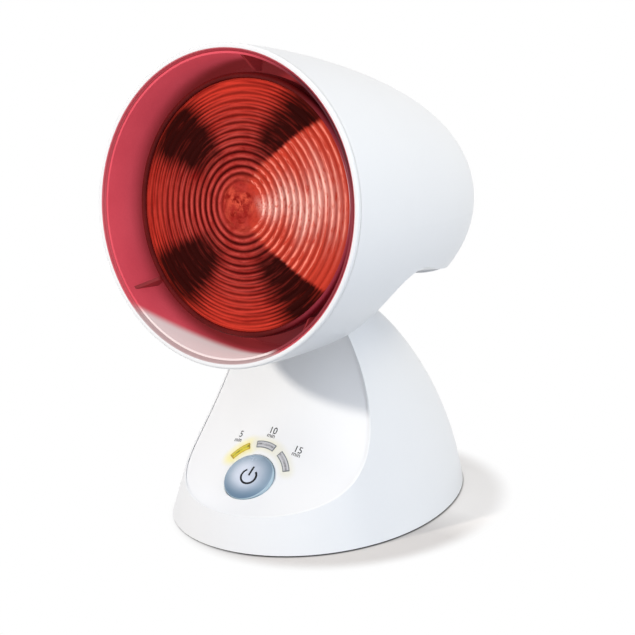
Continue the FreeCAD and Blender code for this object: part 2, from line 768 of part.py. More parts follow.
def hill(inset, low, high):
    """The stand as a solid body between two heights, smaller by inset all round."""
    spaces = 8
    closer_up = 1.3             # the outlines lie closer together towards the top
    wires = []
    for i in range(spaces + 1):
        t = 1 - (1 - i / spaces) ** closer_up
        wires.append(hill_wire(low + (high - low) * t, inset))
    return Part.makeLoft(wires, True, False)


def panel_line(x, inset):
    """Line down the panel's face, from above the stand to in front of it."""
    edge = (x / EDGE_HALF) ** 2
    power = PANEL_POW + (EDGE_POW - PANEL_POW) * min(1.0, edge)
    front_y = PANEL_FRONT_Y + (EDGE_FRONT_Y - PANEL_FRONT_Y) * edge
    top_z = PANEL_TOP_Z + (EDGE_TOP_Z - PANEL_TOP_Z) * edge
    rise = top_z - PANEL_FRONT_Z - (EDGE_FRONT_Z - PANEL_FRONT_Z) * edge
    above = [SHELL_TOP - PANEL_TOP_Z + rise * step for step in (0.6, 0.4, 0.2)]
    points = [Vector(x, front_y + PANEL_DEPTH_Y, top_z + height) for height in above]
    spaces = 12
    for i in range(spaces + 1):
        a = math.pi / 2 * (1 - i / spaces)
        y = front_y + PANEL_DEPTH_Y * math.sin(a) ** (2 / power)
        z = top_z - rise * max(0.0, math.cos(a)) ** (2 / power)
        points.append(Vector(x, y, z))
    points.append(points[-1] + Vector(0, -PANEL_SIDE, 0))
    return side_line(points, inset, 30)


def panel_cutter(inset):
    """The air in front of the panel, with its face moved into the stand by inset."""
    columns = [panel_line(x, inset) for x in evenly(EDGE_HALF + PANEL_SIDE)]
    return face_through(columns).extrude(Vector(0, -BIG, BIG))


AIR = panel_cutter(0.0)
AIR_AT_PANEL = panel_cutter(PANEL_SET)
AIR_BEHIND_PANEL = panel_cutter(PANEL_SET + PANEL_T)
AIR_AT_SEAT = panel_cutter(PANEL_SET + PANEL_T + PANEL_FIT)
PLATE_TOP = PLATE_BOTTOM + PLATE_T


def base_screw_places():
    """Where each screw stands, so that its boss meets the leaning wall of the shell."""
    places = []
    for angle, height in BASE_SCREWS:
        half_x, half_y, middle = hill_section(height, STAND_WALL + BOSS_R - BOSS_SINK)
        a = math.radians(angle)
        x = half_x * math.cos(a) * (1 + EGG * math.sin(a))
        places.append((x, middle + half_y * math.sin(a), height))
    return places


def base_bosses():
    return [rod_z(BOSS_R, PLATE_TOP, height, x, y) for x, y, height in base_screw_places()]


def base_holes():
    top = PLATE_TOP + BASE_SCREW_LEN + OVER
    return [rod_z(BASE_SCREW_R, PLATE_BOTTOM - OVER, top, x, y) for x, y, height in base_screw_places()]


def column_opening():
    gap = COLUMN_OPENING_GAP
    half = KNUCKLE_HALF + gap
    depth = KNUCKLE_R + gap
    low = SHELL_TOP - STAND_WALL * 3
    return box(-half, half, PIVOT.y - depth, PIVOT.y + depth, low, SHELL_TOP + OVER)


def make_stand_shell():
    outer = hill(0.0, SHELL_FOOT, SHELL_TOP)
    inner = hill(STAND_WALL, SHELL_FOOT - OVER, SHELL_TOP - STAND_WALL)
    rebate = hill(PANEL_LIP, SHELL_FOOT, SHELL_TOP - STAND_WALL).common(AIR_AT_SEAT)
    shell = outer.cut(inner).cut(AIR).cut(rebate)
    inside = outer.cut(AIR_BEHIND_PANEL)
    shell = shell.fuse([boss.common(inside) for boss in base_bosses()])
    seat = rod_y(GLAND_SEAT_R, GLAND_SEAT_IN, GLAND_SEAT_Y, 0, GLAND_Z)
    shell = shell.fuse(seat).cut(rod_y(GLAND_TAIL_R, GLAND_TAIL_Y, BIG, 0, GLAND_Z))
    return shell.cut(base_holes() + [column_opening()])


# ---------------------------------------------------------------- front panel

def window_wedge(angle, gap, low, high):
    """A length of ring around the button's axis, as deep as from low to high."""
    ring = tube_z(WINDOW_OUT + gap, WINDOW_IN - gap, low, high)
    half = math.radians(WINDOW_HALF_ANGLE) + gap / WINDOW_IN
    middle = math.radians(angle)
    reach = WINDOW_OUT * 1.5
    corners = [Vector(0, 0, low)]
    for a in (middle - half, middle, middle + half):
        corners.append(Vector(reach * math.cos(a), reach * math.sin(a), low))
    wedge = Part.Face(Part.makePolygon(corners + corners[:1])).extrude(Vector(0, 0, high - low))
    return ring.common(wedge)


def board_posts(low):
    posts = []
    for x in (-POST_X, POST_X):
        for y in (POST_LOW, POST_HIGH):
            posts.append(rod_z(POST_R, low, BIG / 4, x, y))
    return posts


def make_front_panel():
    sheet = hill(PANEL_LIP + PANEL_FIT, SHELL_FOOT, SHELL_TOP - STAND_WALL - PANEL_FIT)
    sheet = sheet.common(AIR_BEHIND_PANEL)
    hole = BUTTON_R + BUTTON_HOLE_GAP
    collar = rod_z(hole + COLLAR_WALL, -COLLAR_DEPTH, BIG / 4)
    backing = [placed(part, PANEL_PLACE) for part in [collar] + board_posts(-BOARD_DEPTH)]
    panel = sheet.fuse(backing).cut(AIR_AT_PANEL)
    cuts = [rod_z(hole, -BOARD_DEPTH, BIG / 4)]
    cuts += [window_wedge(a, WINDOW_GAP, -BOARD_DEPTH, BIG / 4) for a in WINDOWS.values()]
    for x in (-POST_X, POST_X):
        for y in (POST_LOW, POST_HIGH):
            cuts.append(rod_z(BOARD_SCREW_R, -BOARD_DEPTH - OVER, OVER - BOARD_DEPTH + BOARD_SCREW_LEN, x, y))
    return panel.cut([placed(cut, PANEL_PLACE) for cut in cuts]).removeSplitter()


def make_window(angle):
    guide = placed(window_wedge(angle, 0.0, -WINDOW_DEPTH, BIG / 4), PANEL_PLACE)
    return guide.cut(AIR_AT_PANEL)


# ---------------------------------------------------------------- power button and control board

def button_bottom():
    return -COLLAR_DEPTH - HINGE_GAP - BUTTON_FLANGE_T


def make_power_button():
    """A domed cap, hollow from below, with a stem that works the switch."""
    rise = BUTTON_DOME
    sphere_r = (BUTTON_R ** 2 + rise ** 2) / (2 * rise)
    ball = Part.makeSphere(sphere_r, Vector(0, 0, BUTTON_EDGE + rise - sphere_r))
    body = rod_z(BUTTON_R, button_bottom(), BUTTON_EDGE + rise).common(ball)
    body = body.fuse(rod_z(BUTTON_FLANGE_R, button_bottom(), button_bottom() + BUTTON_FLANGE_T))
    hollow = rod_z(BUTTON_R - BUTTON_WALL, button_bottom() - OVER, BUTTON_EDGE - BUTTON_WALL)
    stem = rod_z(STEM_R, plunger_top(), BUTTON_EDGE)
    return placed(body.cut(hollow).fuse(stem).removeSplitter(), PANEL_PLACE)


def plunger_top():
    return -BOARD_DEPTH + SWITCH_T + PLUNGER_UP


def make_switch_plunger():
    low = -BOARD_DEPTH + SWITCH_T - PLUNGER_DOWN + BUTTON_TRAVEL / 2
    return placed(rod_z(PLUNGER_R, low, plunger_top()), PANEL_PLACE)


def make_switch_body():
    top = -BOARD_DEPTH + SWITCH_T
    body = box(-SWITCH_HALF, SWITCH_HALF, -SWITCH_HALF, SWITCH_HALF, -BOARD_DEPTH, top)
    well = rod_z(PLUNGER_R + PLUNGER_GAP, top - PLUNGER_DOWN - BUTTON_TRAVEL, top + OVER)
    return placed(body.cut(well), PANEL_PLACE)


def make_control_board():
    low = -BOARD_DEPTH - BOARD_T
    board = box(-BOARD_HALF, BOARD_HALF, BOARD_LOW, BOARD_HIGH, low, -BOARD_DEPTH)
    for x in (-POST_X, POST_X):
        for y in (POST_LOW, POST_HIGH):
            board = board.cut(rod_z(BOARD_SCREW_R, low - OVER, 0, x, y))
    return placed(board, PANEL_PLACE)


def make_board_screws():
    low = -BOARD_DEPTH - BOARD_T
    screws = []
    for x in (-POST_X, POST_X):
        for y in (POST_LOW, POST_HIGH):
            head = rod_z(BOARD_SCREW_HEAD_R, low - BOARD_SCREW_HEAD_T, low, x, y)
            screws.append(head.fuse(rod_z(BOARD_SCREW_R, low, BOARD_SCREW_LEN - BOARD_DEPTH, x, y)))
    return placed(Part.makeCompound(screws), PANEL_PLACE)


def make_indicator_leds():
    radius = (WINDOW_IN + WINDOW_OUT) / 2
    leds = []
    for angle in WINDOWS.values():
        x = radius * math.cos(math.radians(angle))
        y = radius * math.sin(math.radians(angle))
        led = box(-LED_HALF, LED_HALF, -LED_HALF, LED_HALF, -BOARD_DEPTH, LED_T - BOARD_DEPTH)
        led.translate(Vector(x, y, 0))
        leds.append(led)
    return placed(Part.makeCompound(leds), PANEL_PLACE)


# ---------------------------------------------------------------- base

def foot_pockets():
    return [rod_z(FOOT_R, 0, PLATE_BOTTOM + FOOT_SET, x, y) for x, y in FEET]


def column_screw_places():
    rows = (PIVOT.y - COLUMN_SCREW_Y, PIVOT.y + COLUMN_SCREW_Y)
    return [(x, y) for x in (-COLUMN_SCREW_X, COLUMN_SCREW_X) for y in rows]


def standoff_places():
    rows = (POWER_Y0 + STANDOFF_INSET, POWER_Y1 - STANDOFF_INSET)
    x = POWER_HALF - STANDOFF_INSET
    return [(side * x, y) for side in (-1, 1) for y in rows]


def make_base_plate():
    plate = hill(STAND_WALL + PANEL_FIT, PLATE_BOTTOM, SHELL_TOP / 2)
    plate = plate.common(box(-BIG, BIG, -BIG, BIG, PLATE_BOTTOM, PLATE_TOP))
    standoffs = [rod_z(STANDOFF_R, PLATE_TOP, PLATE_TOP + POWER_LIFT, x, y) for x, y in standoff_places()]
    plate = plate.fuse(standoffs)
    cuts = foot_pockets() + base_holes()
    for x, y, height in base_screw_places():
        cuts.append(rod_z(BASE_HEAD_R, 0, PLATE_BOTTOM + BASE_HEAD_T, x, y))
    for x, y in column_screw_places():
        cuts.append(rod_z(SCREW_R, 0, PLATE_TOP + OVER, x, y))
        cuts.append(rod_z(SCREW_HEAD_R, 0, PLATE_BOTTOM + BASE_HEAD_T, x, y))
    return plate.cut(cuts).removeSplitter()


def make_base_screws():
    screws = []
    for x, y, height in base_screw_places():
        head = rod_z(BASE_HEAD_R, PLATE_BOTTOM, PLATE_BOTTOM + BASE_HEAD_T, x, y)
        shank = rod_z(BASE_SCREW_R, PLATE_BOTTOM, PLATE_TOP + BASE_SCREW_LEN, x, y)
        screws.append(head.fuse(shank).removeSplitter())
    return Part.makeCompound(screws)


def make_feet():
    return Part.makeCompound([rod_z(FOOT_R, 0, PLATE_BOTTOM + FOOT_SET, x, y) for x, y in FEET])


def make_neck_column():
    """A hollow post from the base plate to the knuckle of the tilt hinge."""
    foot = box(-COLUMN_FOOT_X, COLUMN_FOOT_X, PIVOT.y - COLUMN_FOOT_Y, PIVOT.y + COLUMN_FOOT_Y,
               PLATE_TOP, PLATE_TOP + COLUMN_FOOT_T)
    post = box(-KNUCKLE_HALF, KNUCKLE_HALF, PIVOT.y - KNUCKLE_R, PIVOT.y + KNUCKLE_R, PLATE_TOP, PIVOT.z)
    knuckle = rod_x(KNUCKLE_R, -KNUCKLE_HALF, KNUCKLE_HALF, PIVOT.y, PIVOT.z)
    column = foot.fuse([post, knuckle])
    half = KNUCKLE_HALF - COLUMN_WALL
    core = box(-half, half, PIVOT.y - KNUCKLE_R + COLUMN_WALL, PIVOT.y + KNUCKLE_R - COLUMN_WALL,
               PLATE_TOP + COLUMN_FOOT_T, PIVOT.z - BOLT_R - KNUCKLE_WALL)
    slot = box(-WIRE_SLOT_HALF, WIRE_SLOT_HALF, PIVOT.y, PIVOT.y + KNUCKLE_R + OVER,
               WIRE_SLOT_Z, WIRE_SLOT_Z + WIRE_SLOT_H)
    bore = rod_x(BOLT_R + RUN_GAP, -BIG, BIG, PIVOT.y, PIVOT.z)
    top = PLATE_TOP + COLUMN_FOOT_T + OVER
    holes = [rod_z(SCREW_R, PLATE_BOTTOM, top, x, y) for x, y in column_screw_places()]
    return column.cut([core, slot, bore] + holes).removeSplitter()


def make_column_screws():
    screws = []
    for x, y in column_screw_places():
        head = rod_z(SCREW_HEAD_R, PLATE_BOTTOM, PLATE_BOTTOM + BASE_HEAD_T, x, y)
        shank = rod_z(SCREW_R, PLATE_BOTTOM, PLATE_TOP + COLUMN_FOOT_T, x, y)
        screws.append(head.fuse(shank).removeSplitter())
    return Part.makeCompound(screws)


# ---------------------------------------------------------------- power board and mains entry

POWER_TOP = PLATE_TOP + POWER_LIFT + BOARD_T


def make_power_board():
    return box(-POWER_HALF, POWER_HALF, POWER_Y0, POWER_Y1, PLATE_TOP + POWER_LIFT, POWER_TOP)


def on_board(size, corner):
    x, y = corner
    return box(x, x + size[0], y, y + size[1], POWER_TOP, POWER_TOP + size[2])


def make_terminal_block():
    half = BLOCK[0] / 2
    block = box(-half, half, BLOCK_Y, BLOCK_Y + BLOCK[1], PLATE_TOP, PLATE_TOP + BLOCK[2])
    for side in (-1, 1):
        block = block.cut(rod_z(TERMINAL_R, PLATE_TOP + BLOCK[2] / 2, PLATE_TOP + BLOCK[2] + OVER,
                                side * half / 2, BLOCK_Y + BLOCK[1] / 2))
    return block


def make_cord_gland():
    end = GLAND_SEAT_Y + GLAND_FLANGE_T
    body = rod_y(GLAND_TAIL_R, GLAND_TAIL_Y, GLAND_SEAT_Y, 0, GLAND_Z)
    body = body.fuse(rod_y(GLAND_FLANGE_R, GLAND_SEAT_Y, end, 0, GLAND_Z))
    bore = rod_y(GLAND_BORE, GLAND_TAIL_Y - OVER, end + OVER, 0, GLAND_Z)
    return body.cut(bore).removeSplitter()


def make_gland_nut():
    ring = rod_y(GLAND_NUT_R, GLAND_SEAT_IN - GLAND_NUT_T, GLAND_SEAT_IN, 0, GLAND_Z)
    return ring.cut(rod_y(GLAND_TAIL_R, GLAND_TAIL_Y, BIG, 0, GLAND_Z))


def all_parts():
    parts = {
        "head_shell": make_head_shell(),
        "mouth_ring": make_mouth_ring(),
        "inner_liner": make_liner(),
        "liner_fins": make_liner_fins(),
        "lamp_lens": make_lens(),
        "lamp_reflector": make_reflector(),
        "lamp_filament": make_filament(),
        "filament_leads": make_filament_leads(),
        "lamp_cap": make_bulb_cap(),
        "cap_insulator": make_cap_insulator(),
        "cap_contact": make_cap_contact(),
        "holder_body": make_holder_body(),
        "holder_sleeve": make_holder_sleeve(),
        "holder_contact": make_holder_contact(),
        "holder_bracket": make_holder_bracket(),
        "bracket_screws": make_bracket_screws(),
        "thermal_cutout": make_thermal_cutout(),
        "hinge_yoke": make_hinge_yoke(),
        "yoke_screws": make_yoke_screws(),
        "hinge_bolt": make_hinge_bolt(),
        "spring_washer": make_spring_washer(),
        "hinge_nut": make_hinge_nut(),
        "friction_washers": make_friction_washers(),
        "stand_shell": make_stand_shell(),
        "front_panel": make_front_panel(),
        "power_button": make_power_button(),
        "switch_plunger": make_switch_plunger(),
        "switch_body": make_switch_body(),
        "control_board": make_control_board(),
        "board_screws": make_board_screws(),
        "indicator_leds": make_indicator_leds(),
        "base_plate": make_base_plate(),
        "base_screws": make_base_screws(),
        "rubber_feet": make_feet(),
        "neck_column": make_neck_column(),
        "column_screws": make_column_screws(),
        "power_board": make_power_board(),
        "relay": on_board(RELAY, RELAY_AT),
        "capacitor": on_board(CAPACITOR, CAPACITOR_AT),
        "terminal_block": make_terminal_block(),
        "cord_gland": make_cord_gland(),
        "gland_nut": make_gland_nut(),
    }
    for name, angle in WINDOWS.items():
        parts[name] = make_window(angle)
    return parts


os.makedirs("parts", exist_ok=True)
for name, shape in all_parts().items():
    shape.exportStep("parts/" + name + ".step")
    print(name, len(shape.Solids), round(shape.Volume, 1), shape.isValid())
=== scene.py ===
import math

import bmesh
import bpy
import numpy as np
from mathutils import Matrix, Vector


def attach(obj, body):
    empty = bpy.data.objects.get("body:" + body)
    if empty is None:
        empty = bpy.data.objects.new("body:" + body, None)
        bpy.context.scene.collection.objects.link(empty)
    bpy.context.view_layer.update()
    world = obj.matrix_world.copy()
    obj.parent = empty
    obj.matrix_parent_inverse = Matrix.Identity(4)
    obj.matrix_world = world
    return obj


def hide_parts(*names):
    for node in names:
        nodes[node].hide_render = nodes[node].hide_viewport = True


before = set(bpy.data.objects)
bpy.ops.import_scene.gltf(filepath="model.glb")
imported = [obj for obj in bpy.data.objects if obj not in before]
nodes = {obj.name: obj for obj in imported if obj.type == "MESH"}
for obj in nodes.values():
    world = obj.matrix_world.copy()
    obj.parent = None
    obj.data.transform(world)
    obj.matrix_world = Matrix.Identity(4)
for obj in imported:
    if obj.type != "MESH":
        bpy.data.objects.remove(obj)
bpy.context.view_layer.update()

scene = bpy.context.scene
scene.view_settings.view_transform = "Standard"

# ---------------------------------------------------------------- camera
# A long lens to the right of the lamp and a little above it, so that the round mouth of the
# head is seen as a slightly narrow oval.

camera_turn = math.radians(36.209)
camera_height = math.radians(18.221)
camera_aim = Vector((0.05247, -0.0768, 0.12245))
camera_distance = 1.32153
focal_length_pixels = 2947
picture_pixels = 635
camera_right = Vector((math.cos(camera_turn), math.sin(camera_turn), 0))
camera_back = Vector((math.sin(camera_turn) * math.cos(camera_height),
                      -math.cos(camera_turn) * math.cos(camera_height), math.sin(camera_height)))
camera_up = camera_back.cross(camera_right)
camera_data = bpy.data.cameras.new("camera")
camera_data.sensor_width = 36
camera_data.lens = camera_data.sensor_width * focal_length_pixels / picture_pixels
camera = bpy.data.objects.new("camera", camera_data)
camera.matrix_world = Matrix.Translation(camera_aim + camera_back * camera_distance) @ Matrix(
    (camera_right, camera_up, camera_back)).transposed().to_4x4()
scene.collection.objects.link(camera)
scene.camera = camera

# ---------------------------------------------------------------- floor and light
# A white table top in a white room with a pale ceiling. A small warm lamp on the left throws
# the head's shadow on the stand; larger ones fill in from the front, the right, low and above.


def add(tree, kind, feeds=None, **settings):
    """One node of a tree: its settings, and for each input either a number or another's output."""
    node = tree.nodes.new(kind)
    for key, value in settings.items():
        setattr(node, key, value)
    for key, value in (feeds or {}).items():
        if isinstance(value, bpy.types.NodeSocket):
            tree.links.new(value, node.inputs[key])
        else:
            node.inputs[key].default_value = value
    return node


def figure(tree, operation, *given):
    """One step of arithmetic in a tree, on numbers or on what its nodes put out."""
    return add(tree, "ShaderNodeMath", dict(enumerate(given)), operation=operation).outputs[0]


def vectors(tree, operation, *given, output=0):
    """One step of arithmetic on directions and places; a length or a product is its "Value"."""
    return add(tree, "ShaderNodeVectorMath", dict(enumerate(given)),
               operation=operation).outputs[output]


def ranged(tree, value, start, end, low=0.0, high=1.0, shape="SMOOTHSTEP"):
    """A value taken from between a start and an end to between a low and a high one, in a smooth
    or a LINEAR way, and held at those beyond the start and the end."""
    return add(tree, "ShaderNodeMapRange", {"Value": value, "From Min": start, "From Max": end,
                                            "To Min": low, "To Max": high},
               interpolation_type=shape).outputs["Result"]


def blend(tree, mask, under, over):
    """Two colours, the second laid over the first by a mask."""
    return add(tree, "ShaderNodeMix", {"Factor": mask, "A": under, "B": over},
               data_type="RGBA").outputs[2]


def seen_directly(tree):
    """1 where the camera, a reflection or glass sees the surface, and 0 where light bounces."""
    path = add(tree, "ShaderNodeLightPath").outputs
    seen = figure(tree, "MAXIMUM", path["Is Camera Ray"], path["Is Glossy Ray"])
    return figure(tree, "MAXIMUM", seen, path["Is Transmission Ray"])


floor_mesh = bpy.data.meshes.new("floor")
floor_mesh.from_pydata([(-4, -4, 0), (4, -4, 0), (4, 4, 0), (-4, 4, 0)], [], [(0, 1, 2, 3)])
floor = bpy.data.objects.new("floor", floor_mesh)
scene.collection.objects.link(floor)
table_top = bpy.data.materials.new("table_top")
table_top.use_nodes = True
tree = table_top.node_tree
tree.nodes.clear()
place = add(tree, "ShaderNodeTexCoord").outputs["Object"]
front_back = add(tree, "ShaderNodeSeparateXYZ", {0: place}).outputs["Y"]

# The table is plain white beyond an oval that holds the lamp's shadow. Inside it a painted
# contact shade makes the front side a darker grey, and a painted shadow makes the gap under the
# stand dark; the stand's foot is an egg that grows narrower to the back.
shade_half_x, shade_half_y, shade_shift = 0.070, 0.084, 0.17
foot_half_x, foot_half_y, foot_taper = 0.0624, 0.0853, 0.70
oval = vectors(tree, "MULTIPLY_ADD", place, (1 / shade_half_x, 1 / shade_half_y, 0),
               (-shade_shift, 0, 0))
far = ranged(tree, vectors(tree, "LENGTH", oval, output="Value"), 0.96, 1.13)
taper = figure(tree, "MULTIPLY_ADD", front_back, foot_taper, 1.0)
taper = add(tree, "ShaderNodeCombineXYZ", {"X": taper, "Y": 1.0, "Z": 0.0}).outputs[0]
egg = vectors(tree, "MULTIPLY", vectors(tree, "MULTIPLY", place, taper),
              (1 / foot_half_x, 1 / foot_half_y, 0))
outside = ranged(tree, vectors(tree, "LENGTH", egg, output="Value"), 0.985, 1.006, shape="LINEAR")
far = figure(tree, "MINIMUM", far, outside)
# Painted shade: a darker grey on the front of the near floor, and near black under the stand.
painted_front_shade = ranged(tree, front_back, 0.022, -0.008, shape="LINEAR")
near_colour = blend(tree, painted_front_shade, (0.86, 0.84, 0.82, 1), (0.60, 0.58, 0.57, 1))
near_colour = blend(tree, outside, (0.06, 0.06, 0.06, 1), near_colour)
matt = add(tree, "ShaderNodeBsdfDiffuse", {"Color": near_colour})
faint = add(tree, "ShaderNodeEmission", {"Color": (1, 0.98, 0.96, 1), "Strength": 0.03})
near_look = add(tree, "ShaderNodeAddShader", {0: matt.outputs[0], 1: faint.outputs[0]})
far_look = add(tree, "ShaderNodeEmission", {"Color": (1, 1, 1, 1), "Strength": 1.0})
look = add(tree, "ShaderNodeMixShader", {0: far, 1: near_look.outputs[0], 2: far_look.outputs[0]})
bounce = add(tree, "ShaderNodeBsdfDiffuse", {"Color": (0.30, 0.32, 0.35, 1)})
both = add(tree, "ShaderNodeMixShader", {0: seen_directly(tree), 1: bounce.outputs[0],
                                         2: look.outputs[0]})
add(tree, "ShaderNodeOutputMaterial", {"Surface": both.outputs[0]})
floor_mesh.materials.append(table_top)

room = bpy.data.worlds.new("white_room")
scene.world = room
room.use_nodes = True
tree = room.node_tree
tree.nodes.clear()
way = add(tree, "ShaderNodeTexCoord").outputs["Generated"]
rise = add(tree, "ShaderNodeSeparateXYZ", {0: way}).outputs["Z"]
ceiling = ranged(tree, rise, 0.0, 1.0, 0.03, 0.91, shape="LINEAR")
white = add(tree, "ShaderNodeBackground", {"Color": (1, 1, 1, 1), "Strength": 1.0})
lit = add(tree, "ShaderNodeBackground", {"Color": (0.94, 0.97, 1.06, 1), "Strength": ceiling})
both = add(tree, "ShaderNodeMixShader", {0: seen_directly(tree), 1: lit.outputs[0],
                                         2: white.outputs[0]})
add(tree, "ShaderNodeOutputWorld", {"Surface": both.outputs[0]})

lamp_middle = Vector((0, 0, 0.12))


def soft_box(name, right, up, back, width, watts, tint):
    """A square area lamp, placed from the camera's own three directions, aimed at the lamp."""
    data = bpy.data.lights.new(name, "AREA")
    data.size = width
    data.energy = watts
    data.color = tint
    box = bpy.data.objects.new(name, data)
    away = camera_right * right + camera_up * up + camera_back * back
    box.visible_glossy = False
    box.matrix_world = (Matrix.Translation(lamp_middle + away)
                        @ away.to_track_quat("Z", "Y").to_matrix().to_4x4())
    scene.collection.objects.link(box)


soft_box("left_soft_box", -1.10, 0.29, 0.74, 0.09, 10.4, (1, 0.94, 0.86))
soft_box("front_soft_box", 0.05, 0.15, 1.10, 0.50, 1.1, (0.94, 0.96, 1))
soft_box("right_soft_box", 0.85, 0.0, 0.75, 0.50, 4.6, (0.86, 0.93, 1))
soft_box("low_soft_box", 0.30, -0.35, 1.05, 0.50, 1.5, (0.98, 0.98, 1))
soft_box("top_soft_box", 0.70, 1.00, 0.25, 0.50, 3.5, (1, 0.89, 0.66))

# ---------------------------------------------------------------- base plate and feet
# A flat moulded plate of dark grey ABS closes the stand underneath. It is held by five
# self-tapping screws in bosses, and stands on four stuck-on rubber feet.


def look_group(name, inputs, outputs):
    """An empty group with its named inputs, each with a first value, and its named outputs. A
    value of four numbers and the output Color are colours, and the rest are plain numbers."""
    group = bpy.data.node_groups.new(name, "ShaderNodeTree")
    for key, value in inputs.items():
        kind = "NodeSocketColor" if isinstance(value, tuple) else "NodeSocketFloat"
        group.interface.new_socket(key, in_out="INPUT", socket_type=kind).default_value = value
    for key in outputs:
        kind = "NodeSocketColor" if key == "Color" else "NodeSocketFloat"
        group.interface.new_socket(key, in_out="OUTPUT", socket_type=kind)
    return group


def fine_grain():
    """The group for moulded plastic and rubber: cloudy shade, spark-eroded grain and gloss that
    changes a little with the cloud. Cloud and Grain are in turns per metre."""
    group = look_group("moulded_grain", {"Light": (0.8, 0.8, 0.8, 1), "Deep": (0.7, 0.7, 0.7, 1),
                                         "Cloud": 25, "Grain": 1500, "Gloss": 0.35, "Spread": 0.1},
                       ("Color", "Roughness", "Height"))
    given = group.nodes.new("NodeGroupInput").outputs
    place = add(group, "ShaderNodeTexCoord").outputs["Object"]
    cloud = add(group, "ShaderNodeTexNoise", {"Vector": place, "Scale": given["Cloud"],
                                              "Detail": 3.0, "Roughness": 0.55}).outputs["Fac"]
    grain = add(group, "ShaderNodeTexNoise", {"Vector": place, "Scale": given["Grain"],
                                              "Detail": 2.0, "Roughness": 0.6}).outputs["Fac"]
    pits = add(group, "ShaderNodeTexVoronoi", {"Vector": place, "Scale": given["Grain"]},
               feature="SMOOTH_F1").outputs["Distance"]
    shade = figure(group, "MULTIPLY_ADD", grain, 0.35, cloud)
    shade = ranged(group, shade, 0.45, 0.9, shape="LINEAR")
    add(group, "NodeGroupOutput", {
        "Color": blend(group, shade, given["Light"], given["Deep"]),
        "Roughness": figure(group, "MULTIPLY_ADD", cloud, given["Spread"], given["Gloss"]),
        "Height": figure(group, "ADD", pits, grain)})
    return group


moulded_grain = fine_grain()
pit_depth = 0.0004


def finish_from(name, group, feeds, relief, relief_depth):
    """A finish whose group gives it colour, roughness and, through a bump, its fine relief."""
    finish = bpy.data.materials.new(name)
    finish.use_nodes = True
    tree = finish.node_tree
    sockets = tree.nodes["Principled BSDF"].inputs
    look = add(tree, "ShaderNodeGroup", feeds, node_tree=group).outputs
    bump = add(tree, "ShaderNodeBump", {"Strength": relief, "Distance": relief_depth,
                                        "Height": look["Height"]}).outputs[0]
    tree.links.new(look["Color"], sockets["Base Color"])
    tree.links.new(look["Roughness"], sockets["Roughness"])
    tree.links.new(bump, sockets["Normal"])
    return finish


def moulded(name, light, deep, cloud=25, grain=1500, gloss=0.35, spread=0.1, relief=0.03, **plain):
    """A moulded finish, from the grain group, with plain values for the shader's other sockets."""
    finish = finish_from(name, moulded_grain, {
        "Light": (*light, 1), "Deep": (*deep, 1), "Cloud": cloud, "Grain": grain, "Gloss": gloss,
        "Spread": spread}, relief, pit_depth)
    sockets = finish.node_tree.nodes["Principled BSDF"].inputs
    for key, value in plain.items():
        sockets[key.replace("_", " ")].default_value = value
    return finish


def dress(name, finish):
    """Gives a solid of the frame its finish, in each of its slots."""
    for slot in nodes[name].material_slots:
        slot.material = finish


def plated_metal():
    """The group for metal: fine rolling lines and a cloudy tarnish that also takes the gloss."""
    group = look_group("worked_metal", {"Bright": (0.7, 0.7, 0.7, 1), "Dull": (0.4, 0.4, 0.4, 1),
                                        "Cloud": 150, "Gloss": 0.3},
                       ("Color", "Roughness", "Height"))
    given = group.nodes.new("NodeGroupInput").outputs
    place = add(group, "ShaderNodeTexCoord").outputs["Object"]
    lines = add(group, "ShaderNodeMapping", {"Vector": place, "Scale": (1, 1, 12)}).outputs[0]
    lines = add(group, "ShaderNodeTexNoise", {"Vector": lines, "Scale": 400.0,
                                              "Detail": 2.0}).outputs["Fac"]
    cloud = add(group, "ShaderNodeTexNoise", {"Vector": place, "Scale": given["Cloud"],
                                              "Detail": 4.0}).outputs["Fac"]
    dull = ranged(group, cloud, 0.35, 0.7, shape="LINEAR")
    add(group, "NodeGroupOutput", {
        "Color": blend(group, dull, given["Bright"], given["Dull"]),
        "Roughness": figure(group, "MULTIPLY_ADD", cloud, 0.3, given["Gloss"]), "Height": lines})
    return group


worked_metal = plated_metal()
line_relief, line_depth = 0.15, 0.0001


def metal(name, bright, dull, cloud=150, gloss=0.25):
    """A metal finish, from the metal group."""
    finish = finish_from(name, worked_metal, {"Bright": (*bright, 1), "Dull": (*dull, 1),
                                              "Cloud": cloud, "Gloss": gloss},
                         line_relief, line_depth)
    finish.node_tree.nodes["Principled BSDF"].inputs["Metallic"].default_value = 1.0
    return finish


dress("base_plate", moulded("base_grey", (0.035, 0.036, 0.039), (0.024, 0.025, 0.027), gloss=0.55))
dress("rubber_feet", moulded("foot_rubber", (0.035, 0.035, 0.037), (0.02, 0.02, 0.021),
                             cloud=200, grain=2500, gloss=0.75, relief=0.2))
screw_zinc = metal("screw_zinc", (0.66, 0.67, 0.68), (0.47, 0.48, 0.50), gloss=0.28)
dress("base_screws", screw_zinc)

# ---------------------------------------------------------------- neck column
# A glass-filled nylon post stands on the base plate and carries the head. Two screws hold its
# foot, and fibre washers beside its round head give the tilt its friction.

dress("neck_column", moulded("column_nylon", (0.76, 0.77, 0.78), (0.70, 0.71, 0.725),
                             cloud=60, grain=900, gloss=0.5, relief=0.08))
dress("column_screws", screw_zinc)
dress("friction_washers", moulded("washer_fibre", (0.32, 0.12, 0.05), (0.22, 0.08, 0.035),
                                  cloud=400, grain=3000, gloss=0.7, relief=0.2))

# ---------------------------------------------------------------- power board
# A small printed board with the relay that switches the bulb, a yellow film capacitor and a
# grey terminal block for the mains wires.

